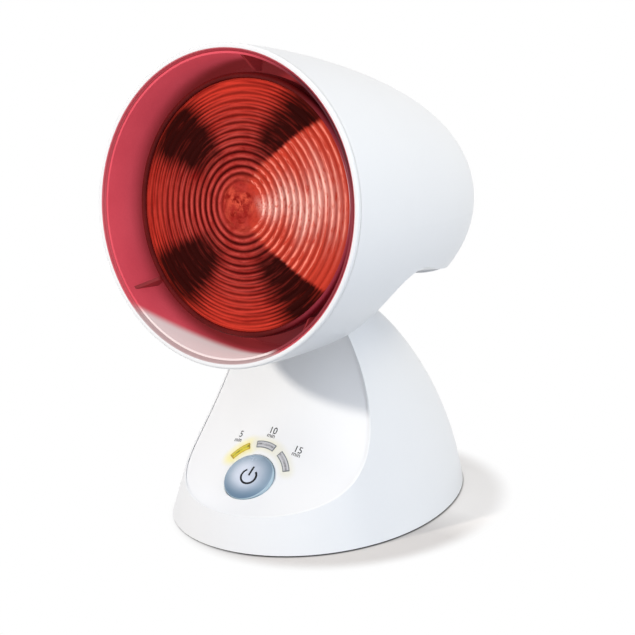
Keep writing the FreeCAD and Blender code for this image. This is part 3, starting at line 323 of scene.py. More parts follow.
board_green = moulded("board_green", (0.02, 0.16, 0.07), (0.012, 0.10, 0.045), cloud=300,
                      grain=2000, gloss=0.35, relief=0.1, Coat_Weight=0.4)
dress("power_board", board_green)
dress("relay", moulded("relay_blue", (0.03, 0.10, 0.34), (0.02, 0.07, 0.26), gloss=0.3))
dress("capacitor", moulded("capacitor_yellow", (0.62, 0.42, 0.04), (0.50, 0.33, 0.03), gloss=0.4))
dress("terminal_block", moulded("block_grey", (0.38, 0.38, 0.37), (0.30, 0.30, 0.29), gloss=0.5))

# ---------------------------------------------------------------- stand shell
# One injection moulding of glossy white ABS, a hill that leans back a little. It is polished
# in the mould, so it has a soft shine and only the slightest waviness.

shell_white = moulded("stand_white", (0.870, 0.877, 0.885), (0.848, 0.858, 0.870), cloud=14,
                      grain=700, gloss=0.28, spread=0.08, relief=0.012,
                      Coat_Weight=0.10, Coat_Roughness=0.12)
dress("stand_shell", shell_white)

# ---------------------------------------------------------------- cord gland
# A gland of black nylon clamps the mains lead where it leaves the back of the stand. It is
# pushed through the shell from outside and held by a nut of the same nylon inside.

gland_black = moulded("gland_black", (0.025, 0.025, 0.027), (0.014, 0.014, 0.015), cloud=150,
                      grain=1800, gloss=0.45, relief=0.1)
dress("cord_gland", gland_black)
dress("gland_nut", gland_black)

# ---------------------------------------------------------------- front panel
# A separate hollow-faced panel of the same white ABS, snapped into the stand's front. Its top
# is crowned. A painted glow of the guides' yellow light tints it round the light guides.

panel_half_width = 46.0
panel_front, panel_top = -83.0, 92.0
panel_depth, panel_sill = 62.0, 17.0


def panel_height(x, y):
    """Height of the panel's outer face in millimetres over a point: a quarter of a flattened
    ring in the plane of symmetry, sunk and rounded off towards the sides."""
    edge = (x / panel_half_width) ** 2
    power = 1.53 + 0.47 * np.minimum(edge, 1)
    front, top = panel_front + 2.8 * edge, panel_top - 12.9 * edge
    rise = top - panel_sill - 0.1 * edge
    back = np.clip((y - front) / panel_depth, 0, 1)
    return top - rise * (1 - back ** power) ** (1 / power)


panel_sunk = 0.4
panel_slope = math.radians(38)
button_middle = np.array((0, -60.3, 28.6))
slope_up = np.array((0, math.cos(panel_slope), math.sin(panel_slope)))
slope_out = np.array((0, -math.sin(panel_slope), math.cos(panel_slope)))


def on_panel(x, p, lift):
    """World places in metres of points given across the panel, up its slope from the button's
    middle, and above its face, all in millimetres. The face is met by stepping along the
    slope's normal, each step as long as the miss in height times the slope's cosine."""
    out = np.zeros_like(x)
    for _ in range(12):
        y = button_middle[1] + p * slope_up[1] + out * slope_out[1]
        z = button_middle[2] + p * slope_up[2] + out * slope_out[2]
        out = out - (z - panel_height(x, y)) * slope_out[2]
    out = out - panel_sunk + lift
    return on_slope(x, p, out)


def on_slope(x, p, out):
    """World places in metres of points across, up and out from the plane of the button."""
    return (button_middle + np.stack((x, p * slope_up[1] + out * slope_out[1],
                                      p * slope_up[2] + out * slope_out[2]), -1)) / 1000


def slope_places():
    """The group that gives how far a point is across the panel and up its slope from the middle
    of the button, and its distance from there, all in millimetres, and its angle round it."""
    group = look_group("slope_places", {}, ("Across", "Up", "Around", "Out"))
    place = add(group, "ShaderNodeTexCoord").outputs["Object"]
    here = vectors(group, "SUBTRACT", place, tuple(button_middle / 1000))
    here = vectors(group, "MULTIPLY", here, (1000, 1000, 1000))
    across = add(group, "ShaderNodeSeparateXYZ", {0: here}).outputs["X"]
    up = vectors(group, "DOT_PRODUCT", here, tuple(slope_up), output="Value")
    flat = add(group, "ShaderNodeCombineXYZ", {"X": across, "Y": up}).outputs[0]
    add(group, "NodeGroupOutput", {"Across": across, "Up": up,
                                   "Around": figure(group, "ARCTAN2", up, across),
                                   "Out": vectors(group, "LENGTH", flat, output="Value")})
    return group


panel_places = slope_places()
guide_r = 18.3
glow_half_angle = 16.5


def near_window(tree, places, angle, spread):
    """1 at a light guide and fading to 0 over the spread in millimetres, from the distance to
    the middle line of its arc."""
    turn = figure(tree, "SUBTRACT", places["Around"], math.radians(angle))
    past = figure(tree, "SUBTRACT", figure(tree, "ABSOLUTE", turn), math.radians(glow_half_angle))
    past = figure(tree, "MULTIPLY", figure(tree, "MAXIMUM", past, 0.0), guide_r)
    off = figure(tree, "SUBTRACT", places["Out"], guide_r)
    both = add(tree, "ShaderNodeCombineXYZ", {"X": off, "Y": past}).outputs[0]
    return ranged(tree, vectors(tree, "LENGTH", both, output="Value"), 1.2, spread, 1.0, 0.0)


def opened(finish):
    """A finish's tree and the colour of its grain, for more colours to be laid over."""
    tree = finish.node_tree
    return tree, next(n for n in tree.nodes if n.type == "GROUP").outputs["Color"]


def coloured(finish, colour, glows=False):
    """Gives a finish the colour worked out for it, also as the colour of its glow if it glows."""
    tree = finish.node_tree
    sockets = tree.nodes["Principled BSDF"].inputs
    for name in ("Base Color", "Emission Color") if glows else ("Base Color",):
        tree.links.new(colour, sockets[name])


def times(tree, first, second):
    """Two masks of a finish multiplied."""
    return figure(tree, "MULTIPLY", first, second)


panel_white = moulded("panel_white", (0.912, 0.918, 0.926), (0.898, 0.905, 0.915), cloud=14,
                      grain=700, gloss=0.28, spread=0.08, relief=0.012,
                      Coat_Weight=0.08, Coat_Roughness=0.12)
tree, colour = opened(panel_white)
places = add(tree, "ShaderNodeGroup", node_tree=panel_places).outputs
# Painted glow: the white turns yellowish round each light guide.
for angle, spread, tint in ((135, 6.5, (0.93, 0.86, 0.42, 1)), (90, 5.5, (0.87, 0.85, 0.72, 1)),
                            (45, 5.5, (0.86, 0.85, 0.76, 1))):
    colour = blend(tree, near_window(tree, places, angle, spread), colour, tint)

# The lower right of the hollow gathers the most light, so a painted shade holds its white
# down a little.
to_right = ranged(tree, places["Across"], -20.0, 14.0)
to_foot = ranged(tree, places["Up"], 46.0, 16.0)
painted_hollow_shade = blend(tree, times(tree, to_right, to_foot), (1, 1, 1, 1), (0.906, 0.907, 0.913, 1))
colour = add(tree, "ShaderNodeMix", {"Factor": 1.0, "A": colour, "B": painted_hollow_shade}, data_type="RGBA",
             blend_type="MULTIPLY").outputs[2]
coloured(panel_white, colour)
dress("front_panel", panel_white)

# ---------------------------------------------------------------- light guides of the timer
# Three short arcs of clear acrylic over the button, one for each time. The first is lit
# yellow; the others are frosted grey. Each has a thin printed border, amber or grey.


def sheet_piece(name, points, round_u=False, round_v=False):
    """A mesh from a grid of points, joined end to end where it goes round. Equal neighbours,
    as at a pole, are merged, and the faces of a closed piece are turned to face outward."""
    rows, columns = points.shape[:2]
    u, v = np.meshgrid(np.arange(rows if round_u else rows - 1),
                       np.arange(columns if round_v else columns - 1), indexing="ij")
    after_u, after_v = (u + 1) % rows, (v + 1) % columns
    faces = np.stack((u * columns + v, after_u * columns + v, after_u * columns + after_v,
                      u * columns + after_v), -1).reshape(-1, 4)
    mesh = bpy.data.meshes.new(name)
    mesh.from_pydata(points.reshape(-1, 3), [], faces)
    work = bmesh.new()
    work.from_mesh(mesh)
    bmesh.ops.remove_doubles(work, verts=work.verts, dist=1e-7)
    if work.calc_volume(signed=True) < 0:
        bmesh.ops.reverse_faces(work, faces=work.faces)
    work.to_mesh(mesh)
    work.free()
    mesh.shade_smooth()
    piece = bpy.data.objects.new(name, mesh)
    scene.collection.objects.link(piece)
    return piece


def vertex_places(piece):
    """The piece's vertices as an array of rows, in millimetres."""
    flat = np.empty(len(piece.data.vertices) * 3, np.float32)
    piece.data.vertices.foreach_get("co", flat)
    return flat.reshape(-1, 3).astype(float) * 1000


def store(piece, name, values):
    """One number for each vertex, kept in the mesh under a name for the finish to read."""
    kept = piece.data.attributes.new(name, "FLOAT", "POINT")
    kept.data.foreach_set("value", np.asarray(values, np.float32))


def arc_bar(name, angle, half_angle, inner, outer, low, high, round_by=0.35):
    """A bar bent round the button: a rectangle with rounded upper corners, carried along an
    arc of the panel's slope and closed at both ends. Heights are above the panel's face."""
    turn = np.linspace(0, math.pi / 2, 5)
    in_by, down_by = round_by * (1 - np.cos(turn)), round_by * (1 - np.sin(turn))
    left = np.stack((inner + in_by, high - down_by), 1)
    right = np.stack((outer - down_by, high - in_by), 1)
    ring = np.concatenate(([[inner, low]], left, right, [[outer, low]]))
    middle = ring.mean(0)
    turns = np.radians(angle + np.linspace(-half_angle, half_angle, 40))
    rings = np.repeat(ring[None], len(turns), 0)
    end = np.broadcast_to(middle, (1, *ring.shape))
    rings = np.concatenate((end, rings, end))
    turns = np.concatenate((turns[:1], turns, turns[-1:]))[:, None]
    r, lift = rings[..., 0], rings[..., 1]
    return sheet_piece(name, on_panel(r * np.cos(turns), r * np.sin(turns), lift), round_v=True)


def guide_finish(name, middle, side, strength):
    """A frosted light guide: one shade along the middle line of the arc and another towards
    its edges, with fine frosting, and shining by the strength given."""
    finish = moulded(name, middle, side, cloud=500, grain=4000, gloss=0.35, relief=0.05,
                     Emission_Strength=strength)
    tree, colour = opened(finish)
    places = add(tree, "ShaderNodeGroup", node_tree=panel_places).outputs
    off = figure(tree, "ABSOLUTE", figure(tree, "SUBTRACT", places["Out"], guide_r))
    edge = ranged(tree, off, 0.25, 0.75, shape="LINEAR")
    coloured(finish, blend(tree, edge, colour, (*side, 1)), glows=strength > 0)
    return finish


lit_yellow = guide_finish("lit_yellow", (0.09, 0.08, 0.004), (0.58, 0.50, 0.045), 0.20)
frosted_grey = guide_finish("frosted_grey", (0.10, 0.10, 0.115), (0.56, 0.56, 0.585), 0.0)
border_lit = moulded("border_lit", (0.60, 0.40, 0.03), (0.52, 0.34, 0.03), cloud=300, gloss=0.4)
border_grey = moulded("border_grey", (0.22, 0.24, 0.25), (0.17, 0.185, 0.195), cloud=300,
                      gloss=0.4)
guide_half_width, border_half_width = 1.35, 1.75
guide_half_angle, border_half_angle = 15.0, 16.3
for minutes, angle in ((5, 135), (10, 90), (15, 45)):
    lit_now = minutes == 5
    guide = arc_bar(f"guide_{minutes}", angle, guide_half_angle, guide_r - guide_half_width,
                    guide_r + guide_half_width, -2.0, 0.22)
    guide.data.materials.append(lit_yellow if lit_now else frosted_grey)
    border = arc_bar(f"guide_border_{minutes}", angle, border_half_angle,
                     guide_r - border_half_width, guide_r + border_half_width, -1.5, 0.08, 0.05)
    border.data.materials.append(border_lit if lit_now else border_grey)
    for piece in (guide, border):
        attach(piece, "stand")
    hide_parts(f"window_{minutes}")

# ---------------------------------------------------------------- control board
# The board under the panel carries the tact switch and the three indicator diodes behind the
# light guides. Screws hold it on the panel's four posts.

dress("control_board", board_green)
dress("board_screws", screw_zinc)
dress("switch_body", moulded("switch_black", (0.03, 0.03, 0.032), (0.018, 0.018, 0.02), gloss=0.4))
dress("switch_plunger", moulded("plunger_black", (0.035, 0.035, 0.037), (0.02, 0.02, 0.022)))
dress("indicator_leds", moulded("diode_yellow", (0.80, 0.62, 0.12), (0.66, 0.48, 0.08),
                                cloud=500, gloss=0.15, Coat_Weight=0.6))

# ---------------------------------------------------------------- button
# A domed push button, moulded and sprayed a pale silvery blue lacquer. Painted shade turns it
# steel blue round the edge, most of all below, and a painted highlight lies on a thin rim.

button_r = 12.6
round_over = 1.1


def button_top(r):
    """Height of the button's cap over its plane: a shallow dome, rounded over at the rim."""
    dome = 0.6 + 2.4 * (1 - (r / button_r) ** 2)
    return dome - 0.55 * np.clip((r - button_r + round_over) / round_over, 0, 1) ** 2.5


cap_r = np.concatenate((np.linspace(0, 11, 34), np.linspace(11.1, button_r, 16)))
cap = np.stack((cap_r, button_top(cap_r)), 1)
skirt = np.array(((button_r, -0.4), (button_r, -2.0), (14.2, -2.1), (14.2, -3.2), (11.0, -3.2),
                  (11.0, -0.8), (2.2, -0.8), (2.0, -3.9), (0, -3.9)))
profile = np.concatenate((cap, skirt))
around = np.linspace(0, 2 * math.pi, 128, endpoint=False)[:, None]
heights = np.broadcast_to(profile[:, 1], (len(around), len(profile)))
button = sheet_piece("button_cap", on_slope(profile[:, 0] * np.cos(around),
                                            profile[:, 0] * np.sin(around), heights), round_u=True)
button_lacquer = moulded("button_lacquer", (0.68, 0.73, 0.84), (0.62, 0.68, 0.80), cloud=120,
                         grain=5000, gloss=0.22, spread=0.08, relief=0.03, Metallic=0.25,
                         Coat_Weight=0.5, Coat_Roughness=0.08)
tree, colour = opened(button_lacquer)
places = add(tree, "ShaderNodeGroup", node_tree=panel_places).outputs
# Painted shade round the edge, deepest below, then a painted highlight on the thin rim.
lower = ranged(tree, places["Up"], 1.0, -12.0)
ring = ranged(tree, places["Out"], 3.5, button_r, high=0.85)
colour = blend(tree, ring, colour, (0.19, 0.30, 0.40, 1))
colour = blend(tree, times(tree, lower, ring), colour, (0.08, 0.16, 0.26, 1))
colour = blend(tree, ranged(tree, places["Out"], 12.3, 12.5), colour, (0.44, 0.58, 0.67, 1))
coloured(button_lacquer, colour)
button.data.materials.append(button_lacquer)
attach(button, "button")
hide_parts("power_button")

# ---------------------------------------------------------------- print on button and panel
# The power symbol on the button, and the times with "min" on the panel, are pad printed in
# thin dark grey ink, so they stand out only by the thickness of the ink.

ink = moulded("pad_print_ink", (0.018, 0.019, 0.022), (0.012, 0.013, 0.016), cloud=600, grain=6000,
              gloss=0.55, relief=0.1, Specular_IOR_Level=0.25)
ink_lift, symbol_lift = 0.06, 0.05


def print_on_panel(name, flat):
    """A flat outline in millimetres, given the ink's thickness and laid on the panel's face."""
    mesh = flat.data
    rows = np.empty(len(mesh.vertices) * 3, np.float32)
    mesh.vertices.foreach_get("co", rows)
    x, p, side = rows.reshape(-1, 3).astype(float).T
    rows = on_panel(x, p, np.where(side > 0, ink_lift, -ink_lift))
    mesh.vertices.foreach_set("co", rows.astype(np.float32).ravel())
    mesh.update()
    flat.name = name
    mesh.materials.append(ink)
    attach(flat, "stand")


def lettering(body, size, x, y):
    """A word as a closed mesh, flat in the plane of x and y, centred on a place."""
    curve = bpy.data.curves.new("lettering", "FONT")
    curve.body = body
    curve.size = size
    curve.align_x = "CENTER"
    curve.align_y = "CENTER"
    curve.extrude = 0.05
    curve.resolution_u = 6
    text = bpy.data.objects.new("lettering", curve)
    scene.collection.objects.link(text)
    bpy.context.view_layer.update()
    shaped = text.evaluated_get(bpy.context.evaluated_depsgraph_get())
    mesh = bpy.data.meshes.new_from_object(shaped)
    bpy.data.objects.remove(text)
    mesh.transform(Matrix.Translation((x, y, 0)))
    work = bmesh.new()
    work.from_mesh(mesh)
    bmesh.ops.remove_doubles(work, verts=work.verts, dist=1e-5)
    work.to_mesh(mesh)
    work.free()
    piece = bpy.data.objects.new("lettering", mesh)
    scene.collection.objects.link(piece)
    return piece


number_size, word_size = 4.6, 3.1
for text, size, x, p in (("5", number_size, -17.2, 21.1), ("10", number_size, 0.6, 25.7),
                         ("15", number_size, 17.0, 20.6), ("min", word_size, -17.6, 18.1),
                         ("min", word_size, 0.5, 23.2), ("min", word_size, 16.9, 18.2)):
    print_on_panel(f"print_{text}_{int(p)}", lettering(text, size, x, p))


def on_button(x, p, lift):
    """World places of points across and up the button's cap, at a height above its dome."""
    return on_slope(x, p, button_top(np.hypot(x, p)) + lift)


def symbol_bar(name, path_x, path_p, half_width):
    """A printed line: a flat rectangle carried along a path on the button's cap. At each point
    the width is laid across the path's own direction."""
    step_x, step_p = np.gradient(path_x), np.gradient(path_p)
    length = np.hypot(step_x, step_p)
    side_x, side_p = -step_p / length * half_width, step_x / length * half_width
    across = np.array((-1, -0.5, 0, 0.5, 1, 1, 0.5, 0, -0.5, -1))
    lift = np.array((symbol_lift,) * 5 + (-symbol_lift,) * 5)
    x = path_x[:, None] + side_x[:, None] * across
    p = path_p[:, None] + side_p[:, None] * across
    points = on_button(x, p, np.broadcast_to(lift, x.shape))
    ends = points[[0, -1]].mean(1, keepdims=True).repeat(len(across), 1)
    points = np.concatenate((ends[:1], points, ends[1:]))
    piece = sheet_piece(name, points, round_v=True)
    piece.data.materials.append(ink)
    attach(piece, "button")


symbol_x, symbol_p = 1.9, -1.0
symbol_r, symbol_gap = 3.9, 38
open_turn = np.radians(np.linspace(90 + symbol_gap, 450 - symbol_gap, 60))
symbol_bar("symbol_ring", symbol_x + symbol_r * np.cos(open_turn),
           symbol_p + symbol_r * np.sin(open_turn), 0.50)
symbol_bar("symbol_stroke", np.full(12, symbol_x), np.linspace(-0.7, 4.6, 12), 0.48)

# ---------------------------------------------------------------- head shell
# The dome of the head is one deep moulding of the same glossy white ABS. A scoop in its
# underside clears the stand, and slots in the scoop's roof let the warm air out.

dress("head_shell", moulded("head_white", (0.872, 0.879, 0.888), (0.850, 0.860, 0.872), cloud=12,
                            grain=700, gloss=0.28, spread=0.08, relief=0.012,
                            Coat_Weight=0.10, Coat_Roughness=0.12))

# ---------------------------------------------------------------- hinge
# A pressed steel yoke is screwed into the head and straddles the column. A bolt, a spring
# washer and a nut clamp it, so that the head stays where it is set.

dress("hinge_yoke", metal("yoke_steel", (0.58, 0.59, 0.60), (0.42, 0.43, 0.45), cloud=90,
                          gloss=0.32))
dress("yoke_screws", screw_zinc)
dress("hinge_bolt", metal("bolt_steel", (0.62, 0.63, 0.64), (0.44, 0.45, 0.47), gloss=0.25))
dress("spring_washer", metal("washer_steel", (0.50, 0.51, 0.53), (0.34, 0.35, 0.37), gloss=0.3))
dress("hinge_nut", metal("nut_steel", (0.64, 0.65, 0.66), (0.46, 0.47, 0.49), gloss=0.25))

# ---------------------------------------------------------------- bulb holder
# A glazed ceramic holder with a brass thread hangs on a steel strap across the head. A small
# thermal cut-out sits on the strap beside it.

dress("holder_body", moulded("holder_ceramic", (0.82, 0.81, 0.77), (0.76, 0.74, 0.69), cloud=70,
                             grain=1200, gloss=0.15, relief=0.03, Coat_Weight=0.5))
dress("holder_sleeve", metal("sleeve_brass", (0.80, 0.58, 0.24), (0.58, 0.38, 0.14), gloss=0.25))
dress("holder_contact", metal("contact_brass", (0.78, 0.57, 0.25), (0.55, 0.37, 0.15)))
dress("holder_bracket", metal("strap_steel", (0.60, 0.61, 0.62), (0.43, 0.44, 0.46), cloud=80))
dress("bracket_screws", screw_zinc)
dress("thermal_cutout", metal("cutout_steel", (0.62, 0.62, 0.60), (0.48, 0.48, 0.46), cloud=300))

# ---------------------------------------------------------------- bulb
# A pressed glass infrared bulb: a ruby red front with stepped rings round a plain middle, fused
# to a silvered bowl, with a screw cap at its neck. The rim of the front is thick dark glass.

head_tilt = math.radians(11)
mouth_y, mouth_z = -76.8, 165.3
bulb_r, rim_s = 61.0, 16.5


def on_head(x, h, s):
    """World places in metres of points given, in millimetres, across the head, up from its axis
    and back from its mouth. The axis rises to the front by the head's tilt."""
    y = mouth_y + s * math.cos(head_tilt) + h * math.sin(head_tilt)
    z = mouth_z + h * math.cos(head_tilt) - s * math.sin(head_tilt)
    return np.stack((x, y, z), -1) / 1000


def turned_piece(name, profile, steps, closed=False):
    """A profile of radius and distance behind the mouth, turned round the head's axis."""
    around = np.linspace(0, 2 * math.pi, steps, endpoint=False)[:, None]
    points = on_head(profile[:, 0] * np.cos(around), profile[:, 0] * np.sin(around),
                     np.broadcast_to(profile[:, 1], (steps, len(profile))))
    return sheet_piece(name, points, round_u=True, round_v=closed)


def head_places(piece):
    """Radius, angle and distance behind the mouth of each vertex of a piece."""
    x, y, z = vertex_places(piece).T
    y, z = y - mouth_y, z - mouth_z
    h = y * math.sin(head_tilt) + z * math.cos(head_tilt)
    s = y * math.cos(head_tilt) - z * math.sin(head_tilt)
    return np.hypot(x, h), np.degrees(np.arctan2(h, x)), s


lens_rings = 14
plain_r, ringed_r = 11.2, 58.1
ring_pitch = (ringed_r - plain_r) / lens_rings
dish_depth, step_depth = 3.5, 0.7


def lens_face(r):
    """Distance of the lens's front behind the mouth: a shallow dish that stands forward in the
    middle, with a row of round-backed steps cut into it, each a half turn of a sine."""
    dish = rim_s - dish_depth * (1 - (r / bulb_r) ** 2)
    turn = np.clip((r - plain_r) / ring_pitch, 0, lens_rings)
    back = 1 - np.abs(np.sin(math.pi * turn)) ** 0.6
    ringed = (r > plain_r) & (r < ringed_r)
    return dish + step_depth * np.where(ringed, back, np.abs(r - plain_r) < 1e-6)


def turned_from(angle, middle):
    """How many degrees an angle lies past a middle one, from -180 to 180."""
    return (angle - middle + 180) % 360 - 180


def ramp(value, start, end):
    """0 before the start, 1 after the end, and a smooth rise between."""
    t = np.clip((value - start) / (end - start), 0, 1)
    return t * t * (3 - 2 * t)


front_r = np.concatenate((np.linspace(0, plain_r, 12),
                          plain_r + ring_pitch / 12 * np.arange(1, 12 * lens_rings)))
front = np.stack((front_r, lens_face(front_r)), 1)
back = np.array(((ringed_r, 16.4), (57.5, 18.9), (30, 16.4), (0, 15.4)))
lens = turned_piece("bulb_lens", np.concatenate((front, back)), 360)
r, angle, _ = head_places(lens)
ring_turn = (r - plain_r) / ring_pitch
phase = ring_turn - np.floor(ring_turn)
in_rings = ramp(r, plain_r - 0.6, plain_r - 0.1) * ramp(r, ringed_r + 0.1, ringed_r - 0.3)

# Four dim sectors of painted shade lie where the bowl behind gives back no light. Each has its
# middle in degrees at the radius lean_r and how that leans with the radius, half its width, how
# softly it starts and stops, the radii it reaches from and to, and how dark it is.
lean_r = 40
shadow = np.zeros_like(r)
dim = np.zeros_like(r)
for middle, lean, half, before, after, start, end, dark in (
        (-130, -0.20, 9, 13, 20, 15, 63, 1.0), (-46, 0.30, 7, 20, 6, 15, 80, 0.93),
        (64, -0.35, 5, 6, 19, 15, 80, 0.93), (145, 0.30, 9, 16, 16, 17, 63, 1.0)):
    past = turned_from(angle, middle + lean * (r - lean_r))
    reach = ramp(r, start, start + 20) * ramp(r, end, end - 9)
    near = ramp(past, -half - before, -half) * ramp(past, half + after, half)
    shadow = np.maximum(shadow, near * reach * dark)
    wide = (ramp(past, -half - 2.4 * before, -half - 0.4 * before)
            * ramp(past, half + 2.4 * after, half + 0.4 * after))
    dim = np.maximum(dim, wide * reach)

# The bright sector of painted light on the right, between two edges that lean and blur
# towards the middle.
blur = 4 + 16 * ramp(r, 34, 12)
sector_low, sector_high = -36 + 0.3 * (r - lean_r), 55 - 0.35 * (r - lean_r)
sector = (ramp(angle, sector_low - blur, sector_low) * ramp(angle, sector_high + blur, sector_high)
          * ramp(r, 5, 13))

# Painted shade in the grooves between the rings, doubled in the dim sectors, and a ragged
# painted highlight, a flare of light that runs outward through the bright sector.
valley = 0.5 + 0.5 * np.cos(2 * math.pi * phase)
fine_valley = 0.5 + 0.5 * np.cos(4 * math.pi * phase)
depth = (0.96 - 0.42 * ramp(r, 24, 58)) * (1 - 0.62 * sector) * ramp(r, 9.0, 17)
left_side = ramp(np.abs(angle), 135, 170)
flare_middle = 11 + 6 * np.sin(r * 0.31) + 3 * np.sin(r * 0.83 + 1)
flare = np.exp(-((angle - flare_middle) / 19) ** 2)
store(lens, "groove", in_rings * np.maximum(valley ** (1.3 + 2.6 * dim) * depth,
                                            0.95 * fine_valley ** 1.2 * dim * (1 - sector)))
store(lens, "edge", in_rings * np.exp(-((phase - 0.40) / 0.17) ** 2))
store(lens, "crest", (in_rings * np.exp(-((phase - 0.45) / 0.22) ** 2) * (1 - sector)
                      * ramp(r, 56, 30)))
store(lens, "shadow", shadow * (1 - sector))
store(lens, "outward", ramp(r, 26, 58) * (1 - 0.55 * left_side))
store(lens, "sector", sector)
store(lens, "middle", ramp(r, 17, 8))
store(lens, "plain", ramp(r, 44, 50) * ramp(angle, 0, -12))
store(lens, "glint", flare * ramp(r, 4, 11) * ramp(r, 62, 41) * sector)
way = lens.data.attributes.new("ring_way", "FLOAT_VECTOR", "POINT")
way.data.foreach_set("vector", np.stack((np.cos(np.radians(angle)), np.sin(np.radians(angle)),
                                         ring_turn / lens_rings), 1).astype(np.float32).ravel())


def stored(tree, name, output="Fac"):
    """What a finish reads of a number or direction kept in the mesh."""
    return add(tree, "ShaderNodeAttribute", attribute_name=name).outputs[output]


def streaks(tree, around, outward, low, high):
    """Mottling that follows the rings: noise on the direction from the lens's middle, which
    closes on itself all the way round, and on the distance outward."""
    way = add(tree, "ShaderNodeMapping", {"Vector": stored(tree, "ring_way", "Vector"),
                                          "Scale": (around, around, outward)}).outputs[0]
    noise = add(tree, "ShaderNodeTexNoise", {"Vector": way, "Scale": 1.0, "Detail": 3.0,
                                             "Roughness": 0.6}).outputs["Fac"]
    return ranged(tree, noise, low, high)


# The red front's colour carries painted light: the bowl's image as painted dark and bright
# sectors, brighter towards the outer edge but less so on the left, painted highlights on the ring
# crests, a painted flare of glints and painted shade in the grooves.
ruby_glass = moulded("ruby_glass", (0.40, 0.038, 0.028), (0.25, 0.012, 0.009), cloud=160,
                     grain=500, gloss=0.20, spread=0.10, relief=0.04, Specular_IOR_Level=0.015,
                     Emission_Strength=0.25)
tree, colour = opened(ruby_glass)
colour = blend(tree, stored(tree, "outward"), colour, (0.58, 0.042, 0.025, 1))
colour = blend(tree, streaks(tree, 1.8, 16.0, 0.46, 0.78), colour, (0.20, 0.007, 0.006, 1))
crest = times(tree, stored(tree, "crest"), streaks(tree, 2.0, 12.0, 0.30, 0.60))
colour = blend(tree, crest, colour, (0.50, 0.062, 0.050, 1))
middle = stored(tree, "middle")
colour = blend(tree, times(tree, middle, streaks(tree, 0.8, 8.0, 0.42, 0.66)), colour,
               (0.55, 0.070, 0.040, 1))
colour = blend(tree, times(tree, middle, streaks(tree, 1.1, 12.0, 0.46, 0.66)), colour,
               (0.20, 0.008, 0.006, 1))
edge = stored(tree, "edge")
ringed = figure(tree, "SUBTRACT", 1.0, stored(tree, "plain"))
crest_light = times(tree, times(tree, edge, streaks(tree, 6.0, 60.0, 0.40, 0.56)), ringed)
bright = blend(tree, crest_light, (0.50, 0.042, 0.023, 1), (0.88, 0.250, 0.180, 1))
colour = blend(tree, stored(tree, "sector"), colour, bright)
glint = times(tree, stored(tree, "glint"), streaks(tree, 10.0, 64.0, 0.28, 0.54))
glint = times(tree, glint, figure(tree, "MULTIPLY_ADD", edge, 0.60, 0.40))
colour = blend(tree, glint, colour, (0.98, 0.62, 0.53, 1))
colour = blend(tree, stored(tree, "groove"), colour, (0.040, 0.0010, 0.0008, 1))
# The painted dark sectors, with ragged edges.
uneven = streaks(tree, 3.0, 30.0, 0.35, 0.65)
uneven = figure(tree, "MULTIPLY_ADD", uneven, 0.34, stored(tree, "shadow"))
colour = blend(tree, ranged(tree, uneven, 0.20, 1.10, shape="LINEAR"), colour,
               (0.025, 0.0028, 0.0022, 1))
coloured(ruby_glass, colour, glows=True)
lens.data.materials.append(ruby_glass)
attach(lens, "head")

liner_r = 70.0


def head_space():
    """The group that gives, for a point of the head, how far it is behind the mouth in
    millimetres, and how far to the right and up from the axis, in shares of the liner's radius."""
    group = look_group("head_space", {}, ("Behind", "Right", "Up"))
    place = add(group, "ShaderNodeTexCoord").outputs["Object"]
    here = vectors(group, "SUBTRACT", place, (0, mouth_y / 1000, mouth_z / 1000))
    share = 1000 / liner_r
    ways = {}
    for name, way in (("Behind", (0, 1000 * math.cos(head_tilt), -1000 * math.sin(head_tilt))),
                      ("Right", (share, 0, 0)),
                      ("Up", (0, share * math.sin(head_tilt), share * math.cos(head_tilt)))):
        ways[name] = vectors(group, "DOT_PRODUCT", here, way, output="Value")
    add(group, "NodeGroupOutput", ways)
    return group


head_room = head_space()

bead_turn = np.linspace(0, math.pi, 17)
bead = np.stack((59.55 - 1.45 * np.cos(bead_turn), 17.4 - 2.4 * np.sin(bead_turn) ** 0.8), 1)
rim_back = np.array(((bulb_r, 20.5), (60.2, 20.5), (57.5, 18.9)))
rim = turned_piece("bulb_rim", np.concatenate((bead, rim_back)), 300, closed=True)
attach(rim, "head")
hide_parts("lamp_lens")
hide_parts("lamp_lens")
rim_glass = moulded("rim_glass", (0.135, 0.010, 0.010), (0.085, 0.006, 0.006), cloud=60,
                    grain=500, gloss=0.10, spread=0.06, relief=0.02, Specular_IOR_Level=0.06)
r, angle, _ = head_places(rim)
# Painted sheen turns the rim magenta on the right, with a painted highlight line of pale pink.
inner_line, outer_line = np.exp(-((r - 58.6) / 0.5) ** 2), np.exp(-((r - 60.4) / 0.4) ** 2)
lines = np.maximum(inner_line, 0.6 * outer_line)
store(rim, "painted_highlight_line", np.exp(-((angle - 15) / 13) ** 2) * lines)
tree, colour = opened(rim_glass)
places = add(tree, "ShaderNodeGroup", node_tree=head_room).outputs
colour = blend(tree, ranged(tree, places["Right"], 0.3, 0.8), colour, (0.30, 0.030, 0.052, 1))
colour = blend(tree, stored(tree, "painted_highlight_line"), colour, (0.95, 0.74, 0.76, 1))
coloured(rim_glass, colour)
rim.data.materials.append(rim_glass)

bowl_glass = moulded("bowl_glass", (0.62, 0.62, 0.63), (0.50, 0.50, 0.52), cloud=60, grain=800,
                     gloss=0.12, spread=0.12, relief=0.03, Metallic=0.9, Coat_Weight=0.5)
tree, colour = opened(bowl_glass)
places = add(tree, "ShaderNodeGroup", node_tree=head_room).outputs
red_edge = ranged(tree, places["Behind"], 26.0, 44.0, 1.0, 0.0, shape="LINEAR")
coloured(bowl_glass, blend(tree, red_edge, colour, (0.13, 0.006, 0.030, 1)))
dress("lamp_reflector", bowl_glass)

